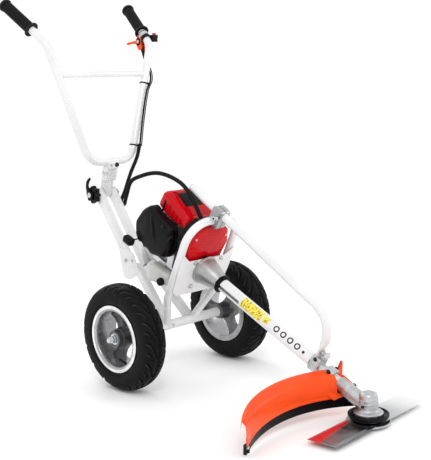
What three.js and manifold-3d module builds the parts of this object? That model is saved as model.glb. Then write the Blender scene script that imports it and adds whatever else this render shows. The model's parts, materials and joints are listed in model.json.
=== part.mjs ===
// A wheeled walk-behind brush cutter: a two-wheel chassis with a fold-down handlebar, a small four-stroke
// engine on a plate in a tube hoop, a drive tube running forward to a bevel gear head with a flat blade,
// and an orange guard. Millimetres, +Z up, -Y is the cutting direction. The origin is the ground point
// under the blade's axis, where the skid bowl rests.

import * as THREE from 'three';
import { mergeVertices } from 'three/addons/utils/BufferGeometryUtils.js';
import Module from 'manifold-3d';

const wasm = await Module();
wasm.setup();

// ---------------------------------------------------------------- driving dimensions

const GAP = 0.3; // clearance between touching pieces
const WHEEL_R = 152.5; // 12 inch tyre
const WHEEL_X = 214; // half of the track
const TYRE_HALF = 37.5;
const FLANGE_R = 95.5;
const BEAD_R = 85.2;
const AXLE_TUBE_R = 14;
const AXLE_R = 7.5;
const HUB_INNER = 52; // from the wheel's middle plane to the hub's inner end
const HUB_OUTER = 36;
const SPOKE_DEPTH = [-24, -5]; // behind the wheel's middle plane
const WHEEL_SIDES = 28; // flats round the tyre and rim, with a corner at the very bottom

const PITCH = THREE.MathUtils.degToRad(3.03); // nose-down lean of the chassis over its wheels
const SHAFT_SLOPE = THREE.MathUtils.degToRad(23.5); // of the drive tube, in the chassis
const PLATE_Y = -105; // middle of the engine plate's front face, in the chassis
const PLATE_Z = 331;
const SHAFT_REACH = 629; // along the drive tube, from the engine plate to the blade's axis

const HANDLE_R = 12.5;
const HOOP_R = 11.5;
const HOOP_SETBACK = 16;
const SUPPORT_R = 12;
const SLEEVE_R = 18.5;
const TUBE_R = 13; // drive tube
const COLUMN_SIDE = 25; // square tube
const COLUMN_X = 26;
const PIVOT = [0, 337, 503]; // fold hinge of the handle, in the chassis

const BLADE_LENGTH = 400;
const BLADE_WIDTH = 83;
const BLADE_BOTTOM = 11.8;
const BLADE_THICK = 2.4;
const BLADE_YAW = THREE.MathUtils.degToRad(3.2);
const BOWL_R = 55;

// where the plate's middle comes once the chassis leans, and so where the axle is
const plateBackY = PLATE_Y * Math.cos(PITCH) - (PLATE_Z - WHEEL_R) * Math.sin(PITCH);
const plateUpZ = WHEEL_R + (PLATE_Z - WHEEL_R) * Math.cos(PITCH) + PLATE_Y * Math.sin(PITCH);
const WORLD_SLOPE = SHAFT_SLOPE + PITCH;
const AXLE_Y = SHAFT_REACH * Math.cos(WORLD_SLOPE) - plateBackY;
const APEX_Z = plateUpZ - SHAFT_REACH * Math.sin(WORLD_SLOPE); // where the drive tube meets the blade axis

// ---------------------------------------------------------------- materials

function finish(color, roughness, metalness = 0) {
  return new THREE.MeshStandardMaterial({ color, roughness, metalness });
}

const WHITE_PAINT = finish(0xf4f4f2, 0.25);
const BLACK_RUBBER = finish(0x161616, 0.8);
const BLACK_PLASTIC = finish(0x1b1b1c, 0.5);
const ORANGE_PLASTIC = finish(0xff5a1e, 0.4);
const RED_PLASTIC = finish(0xc80a1e, 0.2);
const TANK_PLASTIC = finish(0xdcdcd8, 0.5);
const CAST_ALLOY = finish(0x8d8f92, 0.45, 0.9);
const RIM_ALLOY = finish(0x55575a, 0.4, 0.9);
const STEEL = finish(0xb8babd, 0.3, 1);
const TYRE_RUBBER = finish(0x101010, 0.85);

// ---------------------------------------------------------------- geometry helpers

const v3 = (x, y, z) => new THREE.Vector3(x, y, z);

// one closed body with merged corners and faces pointing out
function closed(geometry) {
  const bare = geometry.index ? geometry.toNonIndexed() : geometry.clone();
  bare.deleteAttribute('normal');
  bare.deleteAttribute('uv');
  const merged = mergeVertices(bare, 1e-3);
  const position = merged.attributes.position;
  const index = merged.index.array;
  const kept = [];
  let volume = 0;
  const [a, b, c] = [v3(), v3(), v3()];
  for (let i = 0; i < index.length; i += 3) {
    const [p, q, r] = [index[i], index[i + 1], index[i + 2]];
    if (p === q || q === r || r === p) continue;
    kept.push(p, q, r);
    a.fromBufferAttribute(position, p);
    b.fromBufferAttribute(position, q);
    c.fromBufferAttribute(position, r);
    volume += a.dot(b.cross(c));
  }
  if (volume < 0) {
    for (let i = 0; i < kept.length; i += 3) [kept[i + 1], kept[i + 2]] = [kept[i + 2], kept[i + 1]];
  }
  merged.setIndex(kept);
  return merged;
}

function toManifold(geometry) {
  const body = closed(geometry);
  const vertProperties = new Float32Array(body.attributes.position.array);
  const triVerts = new Uint32Array(body.index.array);
  return new wasm.Manifold(new wasm.Mesh({ numProp: 3, vertProperties, triVerts }));
}

function fromManifold(manifold) {
  const mesh = manifold.getMesh();
  const geometry = new THREE.BufferGeometry();
  geometry.setAttribute('position', new THREE.BufferAttribute(new Float32Array(mesh.vertProperties), 3));
  geometry.setIndex(new THREE.BufferAttribute(new Uint32Array(mesh.triVerts), 1));
  return geometry;
}

function join(first, ...rest) {
  return fromManifold(rest.reduce((sum, g) => sum.add(toManifold(g)), toManifold(first)));
}

function cut(first, ...rest) {
  return fromManifold(rest.reduce((sum, g) => sum.subtract(toManifold(g)), toManifold(first)));
}

// a profile of [radius, height] points turned about Z
function lathe(profile, segments = 20) {
  const geometry = new THREE.LatheGeometry(profile.map(([r, h]) => new THREE.Vector2(r, h)), segments);
  return closed(geometry.rotateX(Math.PI / 2));
}

// a ring or disc about Z between two heights
function ring(inner, outer, low, high, segments = 20) {
  if (inner === 0) return lathe([[0, low], [outer, low], [outer, high], [0, high]], segments);
  return lathe([[inner, low], [outer, low], [outer, high], [inner, high], [inner, low]], segments);
}

const alongX = (geometry) => geometry.rotateY(Math.PI / 2);

// places a geometry made along +Z so that it starts at one point and runs towards another
function aim(geometry, from, to) {
  const direction = v3(...to).sub(v3(...from)).normalize();
  const turn = new THREE.Quaternion().setFromUnitVectors(v3(0, 0, 1), direction);
  return geometry.applyQuaternion(turn).translate(...from);
}

function rod(from, to, radius, segments = 18) {
  return aim(ring(0, radius, 0, v3(...from).distanceTo(v3(...to)), segments), from, to);
}

function box(low, high) {
  const size = high.map((h, i) => h - low[i]);
  return closed(new THREE.BoxGeometry(...size).translate(...low.map((l, i) => l + size[i] / 2)));
}

// an outline of [x, y] points pushed up along Z, with round holes [x, y, radius]
function slab(outline, low, high, holes = []) {
  const shape = new THREE.Shape(outline.map(([x, y]) => new THREE.Vector2(x, y)));
  const settings = { depth: high - low, bevelEnabled: false };
  const plain = new THREE.ExtrudeGeometry(shape, settings).translate(0, 0, low);
  if (holes.length === 0) return closed(plain);
  return cut(plain, ...holes.map(([x, y, r]) => ring(0, r, low - 1, high + 1, 20).translate(x, y, 0)));
}

// the same for an outline of [y, z] points, pushed along X
function slabX(outline, low, high, holes = []) {
  const turned = slab(outline, low, high, holes);
  return turned.applyMatrix4(new THREE.Matrix4().makeBasis(v3(0, 1, 0), v3(0, 0, 1), v3(1, 0, 0)));
}

// corner points of a bent run: each corner [x, y, z, bend radius] is replaced by an arc
function bend(corners, steps = 4) {
  const points = [];
  corners.forEach(([x, y, z, radius], i) => {
    const corner = v3(x, y, z);
    if (!radius) {
      points.push(corner);
      return;
    }
    const back = v3(...corners[i - 1].slice(0, 3)).sub(corner).normalize();
    const ahead = v3(...corners[i + 1].slice(0, 3)).sub(corner).normalize();
    const half = back.angleTo(ahead) / 2;
    const reach = radius / Math.tan(half);
    const centre = back.clone().add(ahead).normalize().multiplyScalar(radius / Math.sin(half)).add(corner);
    const start = corner.clone().addScaledVector(back, reach).sub(centre);
    const end = corner.clone().addScaledVector(ahead, reach).sub(centre);
    const sweep = start.angleTo(end);
    for (let k = 0; k <= steps; k += 1) {
      const t = k / steps;
      const arm = start.clone().multiplyScalar(Math.sin((1 - t) * sweep) / Math.sin(sweep));
      arm.addScaledVector(end, Math.sin(t * sweep) / Math.sin(sweep));
      points.push(arm.add(centre));
    }
  });
  return points;
}

// a path whose steps fall on its own points; with an `up`, its section stays level
class Run extends THREE.Curve {
  constructor(points, up = null) {
    super();
    this.points = points;
    this.up = up;
  }

  getPoint(t) {
    const last = this.points.length - 1;
    const i = Math.min(Math.floor(t * last + 1e-6), last - 1);
    return this.points[i].clone().lerp(this.points[i + 1], t * last - i);
  }

  getPointAt(u) {
    return this.getPoint(u);
  }

  getTangentAt(u) {
    const last = this.points.length - 1;
    const i = Math.round(u * last);
    return this.points[Math.min(i + 1, last)].clone().sub(this.points[Math.max(i - 1, 0)]).normalize();
  }

  computeFrenetFrames(segments, isClosed) {
    if (!this.up) return super.computeFrenetFrames(segments, isClosed);
    const tangents = [];
    const normals = [];
    const binormals = [];
    for (let i = 0; i <= segments; i += 1) {
      const tangent = this.getTangentAt(i / segments);
      const side = this.up.clone().cross(tangent).normalize();
      tangents.push(tangent);
      normals.push(side);
      binormals.push(tangent.clone().cross(side));
    }
    return { tangents, normals, binormals };
  }
}

function sweep(shape, points, up = null) {
  const path = new Run(points, up);
  const settings = { steps: points.length - 1, extrudePath: path, curveSegments: 4, bevelEnabled: false };
  return closed(new THREE.ExtrudeGeometry(shape, settings));
}

function roundSection(radius, sides) {
  const corners = [];
  for (let i = 0; i < sides; i += 1) {
    const angle = (i * 2 * Math.PI) / sides;
    corners.push(new THREE.Vector2(radius * Math.cos(angle), radius * Math.sin(angle)));
  }
  return corners;
}

// a round tube along points; wall 0 is solid
function tube(points, radius, wall = 0, sides = 12) {
  const shape = new THREE.Shape(roundSection(radius, sides));
  if (wall) shape.holes.push(new THREE.Path(roundSection(radius - wall, 6)));
  return sweep(shape, points);
}

// a square tube between two points, its faces square to X
function squareTube(from, to, side, wall) {
  const half = side / 2;
  const soft = 3;
  const outline = [
    [-half + soft, -half], [half - soft, -half], [half, -half + soft], [half, half - soft],
    [half - soft, half], [-half + soft, half], [-half, half - soft], [-half, -half + soft],
  ];
  const shape = new THREE.Shape(outline.map(([x, y]) => new THREE.Vector2(x, y)));
  const inner = half - wall;
  const square = [[-inner, -inner], [inner, -inner], [inner, inner], [-inner, inner]];
  shape.holes.push(new THREE.Path(square.map(([x, y]) => new THREE.Vector2(x, y))));
  return sweep(shape, [v3(...from), v3(...to)], v3(1, 0, 0));
}

// a row of teeth round a cone: a low cylinder whose every second edge is drawn in
function bevelGear(teeth, radius, height, tipShare) {
  const geometry = new THREE.CylinderGeometry(radius * tipShare, radius, height, teeth * 2).toNonIndexed();
  const position = geometry.attributes.position;
  for (let i = 0; i < position.count; i += 1) {
    const [x, z] = [position.getX(i), position.getZ(i)];
    const slot = Math.round((Math.atan2(x, z) / Math.PI) * teeth);
    if (Math.abs(slot) % 2 === 1) position.setXYZ(i, x * 0.86, position.getY(i), z * 0.86);
  }
  return closed(geometry.rotateX(Math.PI / 2));
}

// ---------------------------------------------------------------- groups

const machine = new THREE.Group();
const lean = new THREE.Group(); // turns about the axle
lean.position.set(0, AXLE_Y, WHEEL_R);
lean.rotation.x = PITCH;
machine.add(lean);
const chassis = new THREE.Group(); // origin under the axle, on the wheels' ground
chassis.position.set(0, 0, -WHEEL_R);
lean.add(chassis);
// origin on the engine plate's front face, Y up the plate, Z along the drive tube
const drive = new THREE.Group();
drive.position.set(0, PLATE_Y, PLATE_Z);
drive.rotation.x = Math.PI / 2 + SHAFT_SLOPE;
chassis.add(drive);

function add(group, name, geometry, material) {
  const mesh = new THREE.Mesh(geometry, material);
  mesh.name = name;
  group.add(mesh);
}

// a point of the drive frame in the chassis
function driveToChassis([x, s, d]) {
  const y = PLATE_Y - s * Math.sin(SHAFT_SLOPE) - d * Math.cos(SHAFT_SLOPE);
  const z = PLATE_Z + s * Math.cos(SHAFT_SLOPE) - d * Math.sin(SHAFT_SLOPE);
  return [x, y, z];
}

// a solid made in the drive frame, moved into the chassis
const driveSolid = (geometry) => geometry.rotateX(Math.PI / 2 + SHAFT_SLOPE).translate(0, PLATE_Y, PLATE_Z);

// a point of the chassis in the drive frame
function chassisToDrive([x, y, z]) {
  const [dy, dz] = [y - PLATE_Y, z - PLATE_Z];
  const s = -dy * Math.sin(SHAFT_SLOPE) + dz * Math.cos(SHAFT_SLOPE);
  const d = -dy * Math.cos(SHAFT_SLOPE) - dz * Math.sin(SHAFT_SLOPE);
  return [x, s, d];
}

// ---------------------------------------------------------------- wheels and axle

function tyre() {
  const outer = [[85.6, 34.5], [97, 34.6], [116, TYRE_HALF], [135, 36], [146.5, 26], [WHEEL_R, 9]];
  const inner = [[141, 14], [124, 31], [85.6, 25]];
  const mirrored = (points) => points.map(([r, a]) => [r, -a]).reverse();
  const loop = [...outer, ...mirrored(outer), ...mirrored(inner), ...inner];
  loop.push(loop[0]);
  return alongX(lathe(loop, WHEEL_SIDES));
}

function rim() {
  const profile = [
    [79, -38], [FLANGE_R, -38], [FLANGE_R, -35], [BEAD_R, -34.9],
    [BEAD_R, 34.9], [FLANGE_R, 35], [FLANGE_R, 38], [79, 38], [79, -38],
  ];
  const hubProfile = [
    [0, -HUB_INNER], [21, -HUB_INNER], [27, -20], [27, 20], [22, HUB_OUTER], [0, HUB_OUTER],
  ];
  const hub = lathe(hubProfile, 20);
  const spoke = slab([[-20, 15], [20, 15], [13, 45], [21, 81], [-21, 81], [-13, 45]], ...SPOKE_DEPTH);
  const spokes = [0, 1, 2].map((k) => spoke.clone().rotateZ((k * 2 * Math.PI) / 3));
  const body = join(lathe(profile, WHEEL_SIDES), hub, ...spokes);
  return alongX(cut(body, ring(0, AXLE_R + 1.5, -60, 60), ring(0, 17.8, 3, 60)));
}

function wheel(side) {
  const group = new THREE.Group();
  group.position.set(side * WHEEL_X, 0, WHEEL_R);
  group.rotation.set(-PITCH, 0, side < 0 ? Math.PI : 0);
  chassis.add(group);
  const label = side < 0 ? 'right' : 'left';
  add(group, `tyre_${label}`, tyre(), TYRE_RUBBER);
  add(group, `rim_${label}`, rim(), RIM_ALLOY);
  add(group, `wheel_bearing_${label}`, alongX(ring(AXLE_R + GAP, 17.5, 3.3, 35, 20)), STEEL);
  const nut = cut(ring(0, 12.5, HUB_OUTER + 0.6, HUB_OUTER + 11, 6), ring(0, AXLE_R + GAP, 0, 90, 16));
  add(group, `hub_nut_${label}`, alongX(nut), STEEL);
}

function axle() {
  const end = WHEEL_X - HUB_INNER - 1;
  const body = alongX(ring(AXLE_TUBE_R - 2.5, AXLE_TUBE_R, -end, end, 20)).translate(0, 0, WHEEL_R);
  add(chassis, 'axle_tube', body, WHITE_PAINT);
  const reach = WHEEL_X + HUB_OUTER + 20;
  add(chassis, 'axle_shaft', alongX(ring(0, AXLE_R, -reach, reach, 16)).translate(0, 0, WHEEL_R), STEEL);
}

const axleSpace = () => rod([-200, 0, WHEEL_R], [200, 0, WHEEL_R], AXLE_TUBE_R + GAP);

wheel(-1);
wheel(1);
axle();

// ---------------------------------------------------------------- front hoop, engine plate and rear frame

const HOOP_HALF = 98;
const HOOP_TOP = 155;

function hoopPoints() {
  const [, footS, footD] = chassisToDrive([0, 0, WHEEL_R]);
  const side = [
    [-50, footS, footD, 0],
    [-95, -95, -HOOP_SETBACK, 30],
    [-HOOP_HALF, HOOP_TOP, -HOOP_SETBACK, 68],
  ];
  const mirrored = side.map(([x, s, d, r]) => [-x, s, d, r]).reverse();
  return bend([...side, ...mirrored]).map((p) => v3(...driveToChassis(p.toArray())));
}

function frontHoop() {
  add(chassis, 'front_hoop', cut(tube(hoopPoints(), HOOP_R, 2), axleSpace()), WHITE_PAINT);
}

const PLATE_THICK = 4;

function enginePlate() {
  const half = [[70, 36], [100, 62], [103, 0], [99, -62], [82, -78]];
  const mirrored = half.map(([x, s]) => [-x, s]).reverse();
  add(drive, 'engine_plate', slab([...half, ...mirrored], -PLATE_THICK, 0, [[0, 0, 38]]), WHITE_PAINT);
}

const COLUMN_FOOT = [COLUMN_X, 178, 293];
const COLUMN_TOP = [COLUMN_X, 345, 515];
const STRUT_TOP = [COLUMN_X, 158, 302];
const STRUT_FOOT = [46, 8, 160];

function rearFrame(side, label) {
  const flip = ([x, y, z]) => [side * x, y, z];
  const pivotHole = rod([-60, PIVOT[1], PIVOT[2]], [60, PIVOT[1], PIVOT[2]], 6.3, 16);
  const column = cut(squareTube(flip(COLUMN_FOOT), flip(COLUMN_TOP), COLUMN_SIDE, 2), pivotHole);
  add(chassis, `column_tube_${label}`, column, WHITE_PAINT);
  const hoopSpace = tube(hoopPoints(), HOOP_R + GAP);
  const clearOfColumn = squareBlock(flip(COLUMN_FOOT), flip(COLUMN_TOP), COLUMN_SIDE + 2 * GAP);
  const strutTube = squareTube(flip(STRUT_TOP), flip(STRUT_FOOT), COLUMN_SIDE, 2);
  const strut = cut(strutTube, axleSpace(), clearOfColumn, hoopSpace);
  add(chassis, `lower_strut_${label}`, strut, WHITE_PAINT);
  const outline = [[228, 352], [160, 342], [128, 285], [172, 258], [202, 258], [217, 300]];
  const face = COLUMN_X + COLUMN_SIDE / 2 + GAP;
  const [low, high] = side < 0 ? [-face - 2.5, -face] : [face, face + 2.5];
  const plate = slabX(outline, low, high, [[195, 315, 4.3]]);
  const [a, b] = [flip(STRUT_TOP), flip(STRUT_FOOT)];
  add(chassis, `gusset_plate_${label}`, cut(plate, squareBlock(a, b, COLUMN_SIDE + 2 * GAP)), WHITE_PAINT);
}

function squareBlock(from, to, side) {
  const half = side / 2;
  const corners = [[-half, -half], [half, -half], [half, half], [-half, half]];
  const shape = new THREE.Shape(corners.map((p) => new THREE.Vector2(...p)));
  const ahead = v3(...to).sub(v3(...from)).normalize().multiplyScalar(40);
  return sweep(shape, [v3(...from).sub(ahead), v3(...to).add(ahead)], v3(1, 0, 0));
}

frontHoop();
enginePlate();
rearFrame(-1, 'right');
rearFrame(1, 'left');

// ---------------------------------------------------------------- handle

const CROSSBAR_Z = 872;
const CROSSBAR_R = 9.5;
const BAR_BOTTOM = [0, 310, 606];
const BAR_BEND = [201, 350, 962];
const GRIP_OUTER = [239, 503, 1076];
const GRIP_LENGTH = 122;
const GRIP_R = 17.5;
const KNOB_FACE = COLUMN_X + COLUMN_SIDE / 2 + 1;

const mirror = ([x, y, z]) => [-x, y, z];
const between = (a, b, t) => a.map((value, i) => value + (b[i] - value) * t);
const GRIP_INNER = between(GRIP_OUTER, BAR_BEND, GRIP_LENGTH / v3(...GRIP_OUTER).distanceTo(v3(...BAR_BEND)));

function handlebar() {
  const [bottomX, bottomY, bottomZ] = [84, BAR_BOTTOM[1], BAR_BOTTOM[2]];
  const arm = [[...GRIP_OUTER, 0], [...BAR_BEND, 62], [bottomX, bottomY, bottomZ, 62]];
  const mirrored = arm.map(([x, y, z, r]) => [-x, y, z, r]).reverse();
  const bar = tube(bend([...arm, ...mirrored]), HANDLE_R, 2);
  const crossbarShare = (CROSSBAR_Z - bottomZ) / (BAR_BEND[2] - bottomZ);
  const [x, y, z] = between([bottomX, bottomY, bottomZ], BAR_BEND, crossbarShare);
  const crossbar = tube([v3(-x, y, z), v3(x, y, z)], CROSSBAR_R, 2);
  const [bendX, bendY, bendZ] = BAR_BEND;
  const inWall = (s) => rod([s * bottomX, bottomY, bottomZ], [s * bendX, bendY, bendZ], HANDLE_R - 0.8);
  const drain = rod([0, y, z], [0, y, z - 20], 3, 10);
  add(chassis, 'handlebar', join(bar, cut(crossbar, inWall(1), inWall(-1), drain)), WHITE_PAINT);
}

function handleStem() {
  const outline = [[298, 600], [322, 600], [351, 512], [349, 493], [339, 488.5], [326, 493.5], [321, 511]];
  const body = slabX(outline, -13, 13, [[PIVOT[1], PIVOT[2], 6.3]]);
  const [, barY, barZ] = BAR_BOTTOM;
  const bottomBar = rod([-60, barY, barZ], [60, barY, barZ], HANDLE_R + GAP);
  add(chassis, 'handle_stem', cut(body, bottomBar), WHITE_PAINT);
}

function grip(side, label) {
  const bore = HANDLE_R + GAP;
  const [flange, end] = [23.5, 20];
  const profile = [
    [bore, -4], [flange, -4], [flange, 1], [GRIP_R, 5], [GRIP_R, GRIP_LENGTH - 6], [end, GRIP_LENGTH - 3],
    [end, GRIP_LENGTH + 3], [end - 4, GRIP_LENGTH + 6], [0, GRIP_LENGTH + 6], [0, GRIP_LENGTH + GAP],
    [bore, GRIP_LENGTH + GAP], [bore, -4],
  ];
  const [inner, outer] = side < 0 ? [mirror(GRIP_INNER), mirror(GRIP_OUTER)] : [GRIP_INNER, GRIP_OUTER];
  add(chassis, `grip_${label}`, aim(lathe(profile, 18), inner, outer), BLACK_RUBBER);
}

const KNOB_LOBES = 8;
const KNOB_R = [22, 28]; // in the hollows and on the lobes
const KNOB_NEAR = 0.5; // from the column's face
const KNOB_FAR = 19;
const LEVER_FAR = 26;

function foldPivot() {
  const [, y, z] = PIVOT;
  const reach = KNOB_FACE + LEVER_FAR;
  add(chassis, 'pivot_bolt', rod([-reach, y, z], [KNOB_FACE + 8, y, z], 6, 12), STEEL);
  const boltSpace = rod([-reach - GAP, y, z], [0, y, z], 6 + GAP, 12);
  const lobes = [];
  for (let i = 0; i < KNOB_LOBES * 2; i += 1) {
    const angle = (i * Math.PI) / KNOB_LOBES;
    const r = KNOB_R[(i + 1) % 2];
    lobes.push([y + r * Math.cos(angle), z + r * Math.sin(angle)]);
  }
  const knob = slabX(lobes, -KNOB_FACE - KNOB_FAR, -KNOB_FACE - KNOB_NEAR);
  add(chassis, 'star_knob', cut(knob, boltSpace), BLACK_PLASTIC);
  const hook = [
    [y - 11, z - 14], [y + 6, z - 20], [y + 15, z], [y + 20, z + 24], [y + 17, z + 42], [y + 2, z + 55],
    [y - 3, z + 50], [y + 8, z + 37], [y + 10, z + 25], [y + 2, z + 12], [y - 12, z + 8],
  ];
  const lever = slabX(hook, -KNOB_FACE - LEVER_FAR, -KNOB_FACE - KNOB_FAR - GAP);
  add(chassis, 'clamp_lever', cut(lever, boltSpace), BLACK_PLASTIC);
}

// throttle and stop switch, clamped on the left end of the bar just below the grip

const CONTROL_LINE = v3(...GRIP_INNER).sub(v3(...BAR_BEND)).normalize();
// a point on the bar's axis, so far from the bend's corner
const onBar = (along) => v3(...BAR_BEND).addScaledVector(CONTROL_LINE, along).toArray();
const THROTTLE_ALONG = 54.5;
const SWITCH_ALONG = 34;
const THROTTLE_DROP = 27; // from the bar's axis down to the trigger's hinge

function throttlePivot() {
  const [x, y, z] = onBar(THROTTLE_ALONG);
  return [x, y + THROTTLE_DROP * CONTROL_LINE.z, z - THROTTLE_DROP * CONTROL_LINE.y];
}

function throttle() {
  const [x, y, z] = throttlePivot();
  const across = (radius, half) => rod([x - half, y, z], [x + half, y, z], radius);
  const band = rod(onBar(THROTTLE_ALONG - 9), onBar(THROTTLE_ALONG + 9), 18);
  const slot = cut(across(15, 4.5), across(6, 5));
  const barSpace = rod(onBar(20), onBar(90), HANDLE_R + GAP);
  add(chassis, 'throttle_housing', cut(join(band, across(13, 11)), barSpace, slot), ORANGE_PLASTIC);
  const paddle = [
    [y - 9, z - 5], [y - 1, z - 10], [y + 12, z - 9], [y + 38, z - 6], [y + 64, z - 11], [y + 68, z - 7],
    [y + 64, z - 3], [y + 36, z + 2], [y + 9, z + 4], [y - 2, z + 9], [y - 9, z + 4],
  ];
  add(chassis, 'throttle_trigger', cut(slabX(paddle, x - 4, x + 4), across(6.3, 5)), ORANGE_PLASTIC);
}

const BUTTON = [8, 12, 12]; // width, length and height of the stop switch's button
const BUTTON_SPACE = 0.5;
const BUTTON_TRAVEL = 3.5;

function stopSwitch() {
  const [x, y, z] = onBar(SWITCH_ALONG);
  const band = rod(onBar(SWITCH_ALONG - 6), onBar(SWITCH_ALONG + 6), 17);
  const caseLow = [x + 8, y - 25, z - 10];
  const caseHigh = [x + 30, y - 5, z + 12];
  const barSpace = rod(onBar(0), onBar(90), HANDLE_R + GAP);
  const [width, length, height] = BUTTON;
  const low = [x + 18, y - 21, z + 3];
  const well = low.map((value, i) => (i === 2 ? value : value - BUTTON_SPACE));
  const wellTop = [low[0] + width + BUTTON_SPACE, low[1] + length + BUTTON_SPACE, z + 40];
  const body = cut(join(band, box(caseLow, caseHigh)), barSpace, box(well, wellTop));
  add(chassis, 'stop_switch', body, BLACK_PLASTIC);
  const high = [low[0] + width, low[1] + length, low[2] + BUTTON_TRAVEL + height];
  add(chassis, 'stop_switch_button', box([low[0], low[1], low[2] + BUTTON_TRAVEL], high), RED_PLASTIC);
}

handlebar();
handleStem();
grip(-1, 'right');
grip(1, 'left');
foldPivot();
throttle();
stopSwitch();

// ---------------------------------------------------------------- throttle cable

function cables() {
  const [x, y, z] = throttlePivot();
  const thin = [
    [x, y - 8, z - 16], [206, 377, 908], [198, 349, 880], [180, 325, 850], [155, 314, 821], [126, 304, 727],
    [105, 294, 660],
  ];
  const route = new THREE.CatmullRomCurve3(thin.map((p) => v3(...p)), false, 'centripetal');
  add(chassis, 'throttle_cable', tube(route.getSpacedPoints(14), 3, 0, 8), BLACK_RUBBER);
  const thick = [
    [104, 292, 654], [91, 291, 614], [72, 300, 565], [60, 316, 505], [55, 328, 472], [55, 316, 462],
    [53, 300, 492], [40, 262, 542], [24, 195, 568], [4, 95, 588], [-10, 6, 580], [-17, -45, 561],
    [-23, -88, 522],
    driveToChassis([-25, 146, -50]),
  ];
  const loop = new THREE.CatmullRomCurve3(thick.map((p) => v3(...p)), false, 'centripetal');
  add(chassis, 'cable_conduit', tube(loop.getSpacedPoints(38), 6.3, 0, 8), BLACK_RUBBER);
}

cables();

// ---------------------------------------------------------------- support tube and its clamps

const SUPPORT_LOW = [0, 26, 448]; // the tube's lower end, in the drive frame
const SUPPORT_KNEE = [0, 75, 448];
const SUPPORT_TOP = [0, -58, 562]; // the tube's upper end and its shoulder, in the chassis frame
const SUPPORT_SHOULDER = [0, -556, 280];

function supportPoints() {
  const low = driveToChassis(SUPPORT_LOW);
  const knee = driveToChassis(SUPPORT_KNEE);
  return bend([[...SUPPORT_TOP, 0], [...SUPPORT_SHOULDER, 75], [...knee, 50], [...low, 0]]);
}

function supportTube() {
  add(chassis, 'support_tube', tube(supportPoints(), SUPPORT_R, 2), WHITE_PAINT);
  const [, hoopY, hoopZ] = driveToChassis([0, HOOP_TOP, -HOOP_SETBACK]);
  const block = box([-20, -23, -16], [20, 15, 42]);
  block.rotateX(THREE.MathUtils.degToRad(29.5)).translate(0, hoopY, hoopZ);
  const space = tube(supportPoints(), SUPPORT_R + GAP);
  const clamp = cut(block, rod([-50, hoopY, hoopZ], [50, hoopY, hoopZ], HOOP_R + GAP + 0.2), space);
  add(chassis, 'top_clamp', clamp, CAST_ALLOY);
  const [y, z] = [hoopY - 24, hoopZ + 11];
  const stem = rod([-20.4, y, z], [-30, y, z], 4, 12);
  const wing = [
    [y - 12, z - 5], [y + 12, z - 5], [y + 12.5, z + 5], [y + 6, z + 4], [y - 6, z + 4], [y - 12.5, z + 5],
  ];
  const boss = rod([-28, y, z], [-36, y, z], 6, 12);
  add(chassis, 'clamp_wing_screw', join(stem, slabX(wing, -36, -29), boss), STEEL);
}

function shaftClamp() {
  const body = box([-19, -19, 438], [19, 25.5, 466]);
  add(drive, 'shaft_clamp', cut(body, ring(0, TUBE_R + GAP, 400, 500)), CAST_ALLOY);
}

supportTube();
shaftClamp();

// ---------------------------------------------------------------- drive line

const HOUSING_END = 72;
const SLEEVE_END = 436;
const COLLAR_R = 18.3; // of the gear head's long neck

function driveLine() {
  const bell = [
    [TUBE_R + GAP, HOUSING_END], [24.5, HOUSING_END], [29, 56], [36, 30], [39.5, 12], [40, 5], [44, 4],
    [44, GAP], [36.5, GAP], [36.5, 27], [22, 46], [TUBE_R + GAP, 48], [TUBE_R + GAP, HOUSING_END],
  ];
  add(drive, 'clutch_housing', lathe(bell, 24), CAST_ALLOY);
  const collar = [
    [TUBE_R + GAP, 72.3], [25, 72.3], [26.5, 75], [26.5, 80], [22, 84.2], [TUBE_R + GAP, 84.2],
    [TUBE_R + GAP, 72.3],
  ];
  add(drive, 'rubber_collar', lathe(collar), BLACK_RUBBER);
  const sleeve = ring(TUBE_R + 3.5, SLEEVE_R, 84.5, SLEEVE_END);
  add(drive, 'sleeve_tube', cut(sleeve, box([-30, -5, 80], [0, 5, 140])), WHITE_PAINT);
  add(drive, 'drive_tube', ring(TUBE_R - 2, TUBE_R, 50, SHAFT_REACH - 45), STEEL);
  const drum = [[0, 20], [31, 20], [31, 2], [34, 2], [34, 23], [9, 23], [9, 42], [4, 43], [0, 43]];
  add(drive, 'clutch_drum', lathe(drum), STEEL);
  const pinion = bevelGear(15, 8.4, 7, 0.75).translate(0, 0, SHAFT_REACH - 9);
  const core = ring(0, 4, 43.5, SHAFT_REACH - 10, 12);
  const journal = ring(0, 5.5, SHAFT_REACH - 30, SHAFT_REACH - 11, 12);
  add(drive, 'drive_shaft', join(core, journal, pinion), STEEL);
}

driveLine();

// ---------------------------------------------------------------- gear head, blade and skid bowl, upright

function shaftPoint(distance) {
  return [0, distance * Math.cos(WORLD_SLOPE), APEX_Z + distance * Math.sin(WORLD_SLOPE)];
}

function gearHead() {
  const column = lathe([
    [0, 26], [37, 26], [37, 32.5], [28, 36], [24, 40], [23.5, 74], [21, 80], [13, 83.5], [0, 84.3],
  ], 22);
  const neck = join(rod(shaftPoint(8), shaftPoint(72), 20), rod(shaftPoint(60), shaftPoint(98), COLLAR_R));
  const body = join(column, neck);
  const cavity = ring(0, 15, 0, 62, 16);
  const bore = rod(shaftPoint(26), shaftPoint(110), TUBE_R + GAP + 0.1, 20);
  const throat = rod(shaftPoint(0), shaftPoint(30), 10.6, 14);
  add(machine, 'gear_case', cut(body, cavity, bore, throat), CAST_ALLOY);
  const crown = bevelGear(19, 12.4, 5, 0.8).translate(0, 0, APEX_Z - 7.6);
  const spindle = lathe([[0, 3], [6, 3], [6, 38], [5, 39.5], [0, 39.5]], 16);
  const bossed = lathe([[0, 5], [9, 5], [9, 11], [0, 11]], 6);
  add(machine, 'output_spindle', join(spindle, crown, bossed), STEEL);
}

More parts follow.
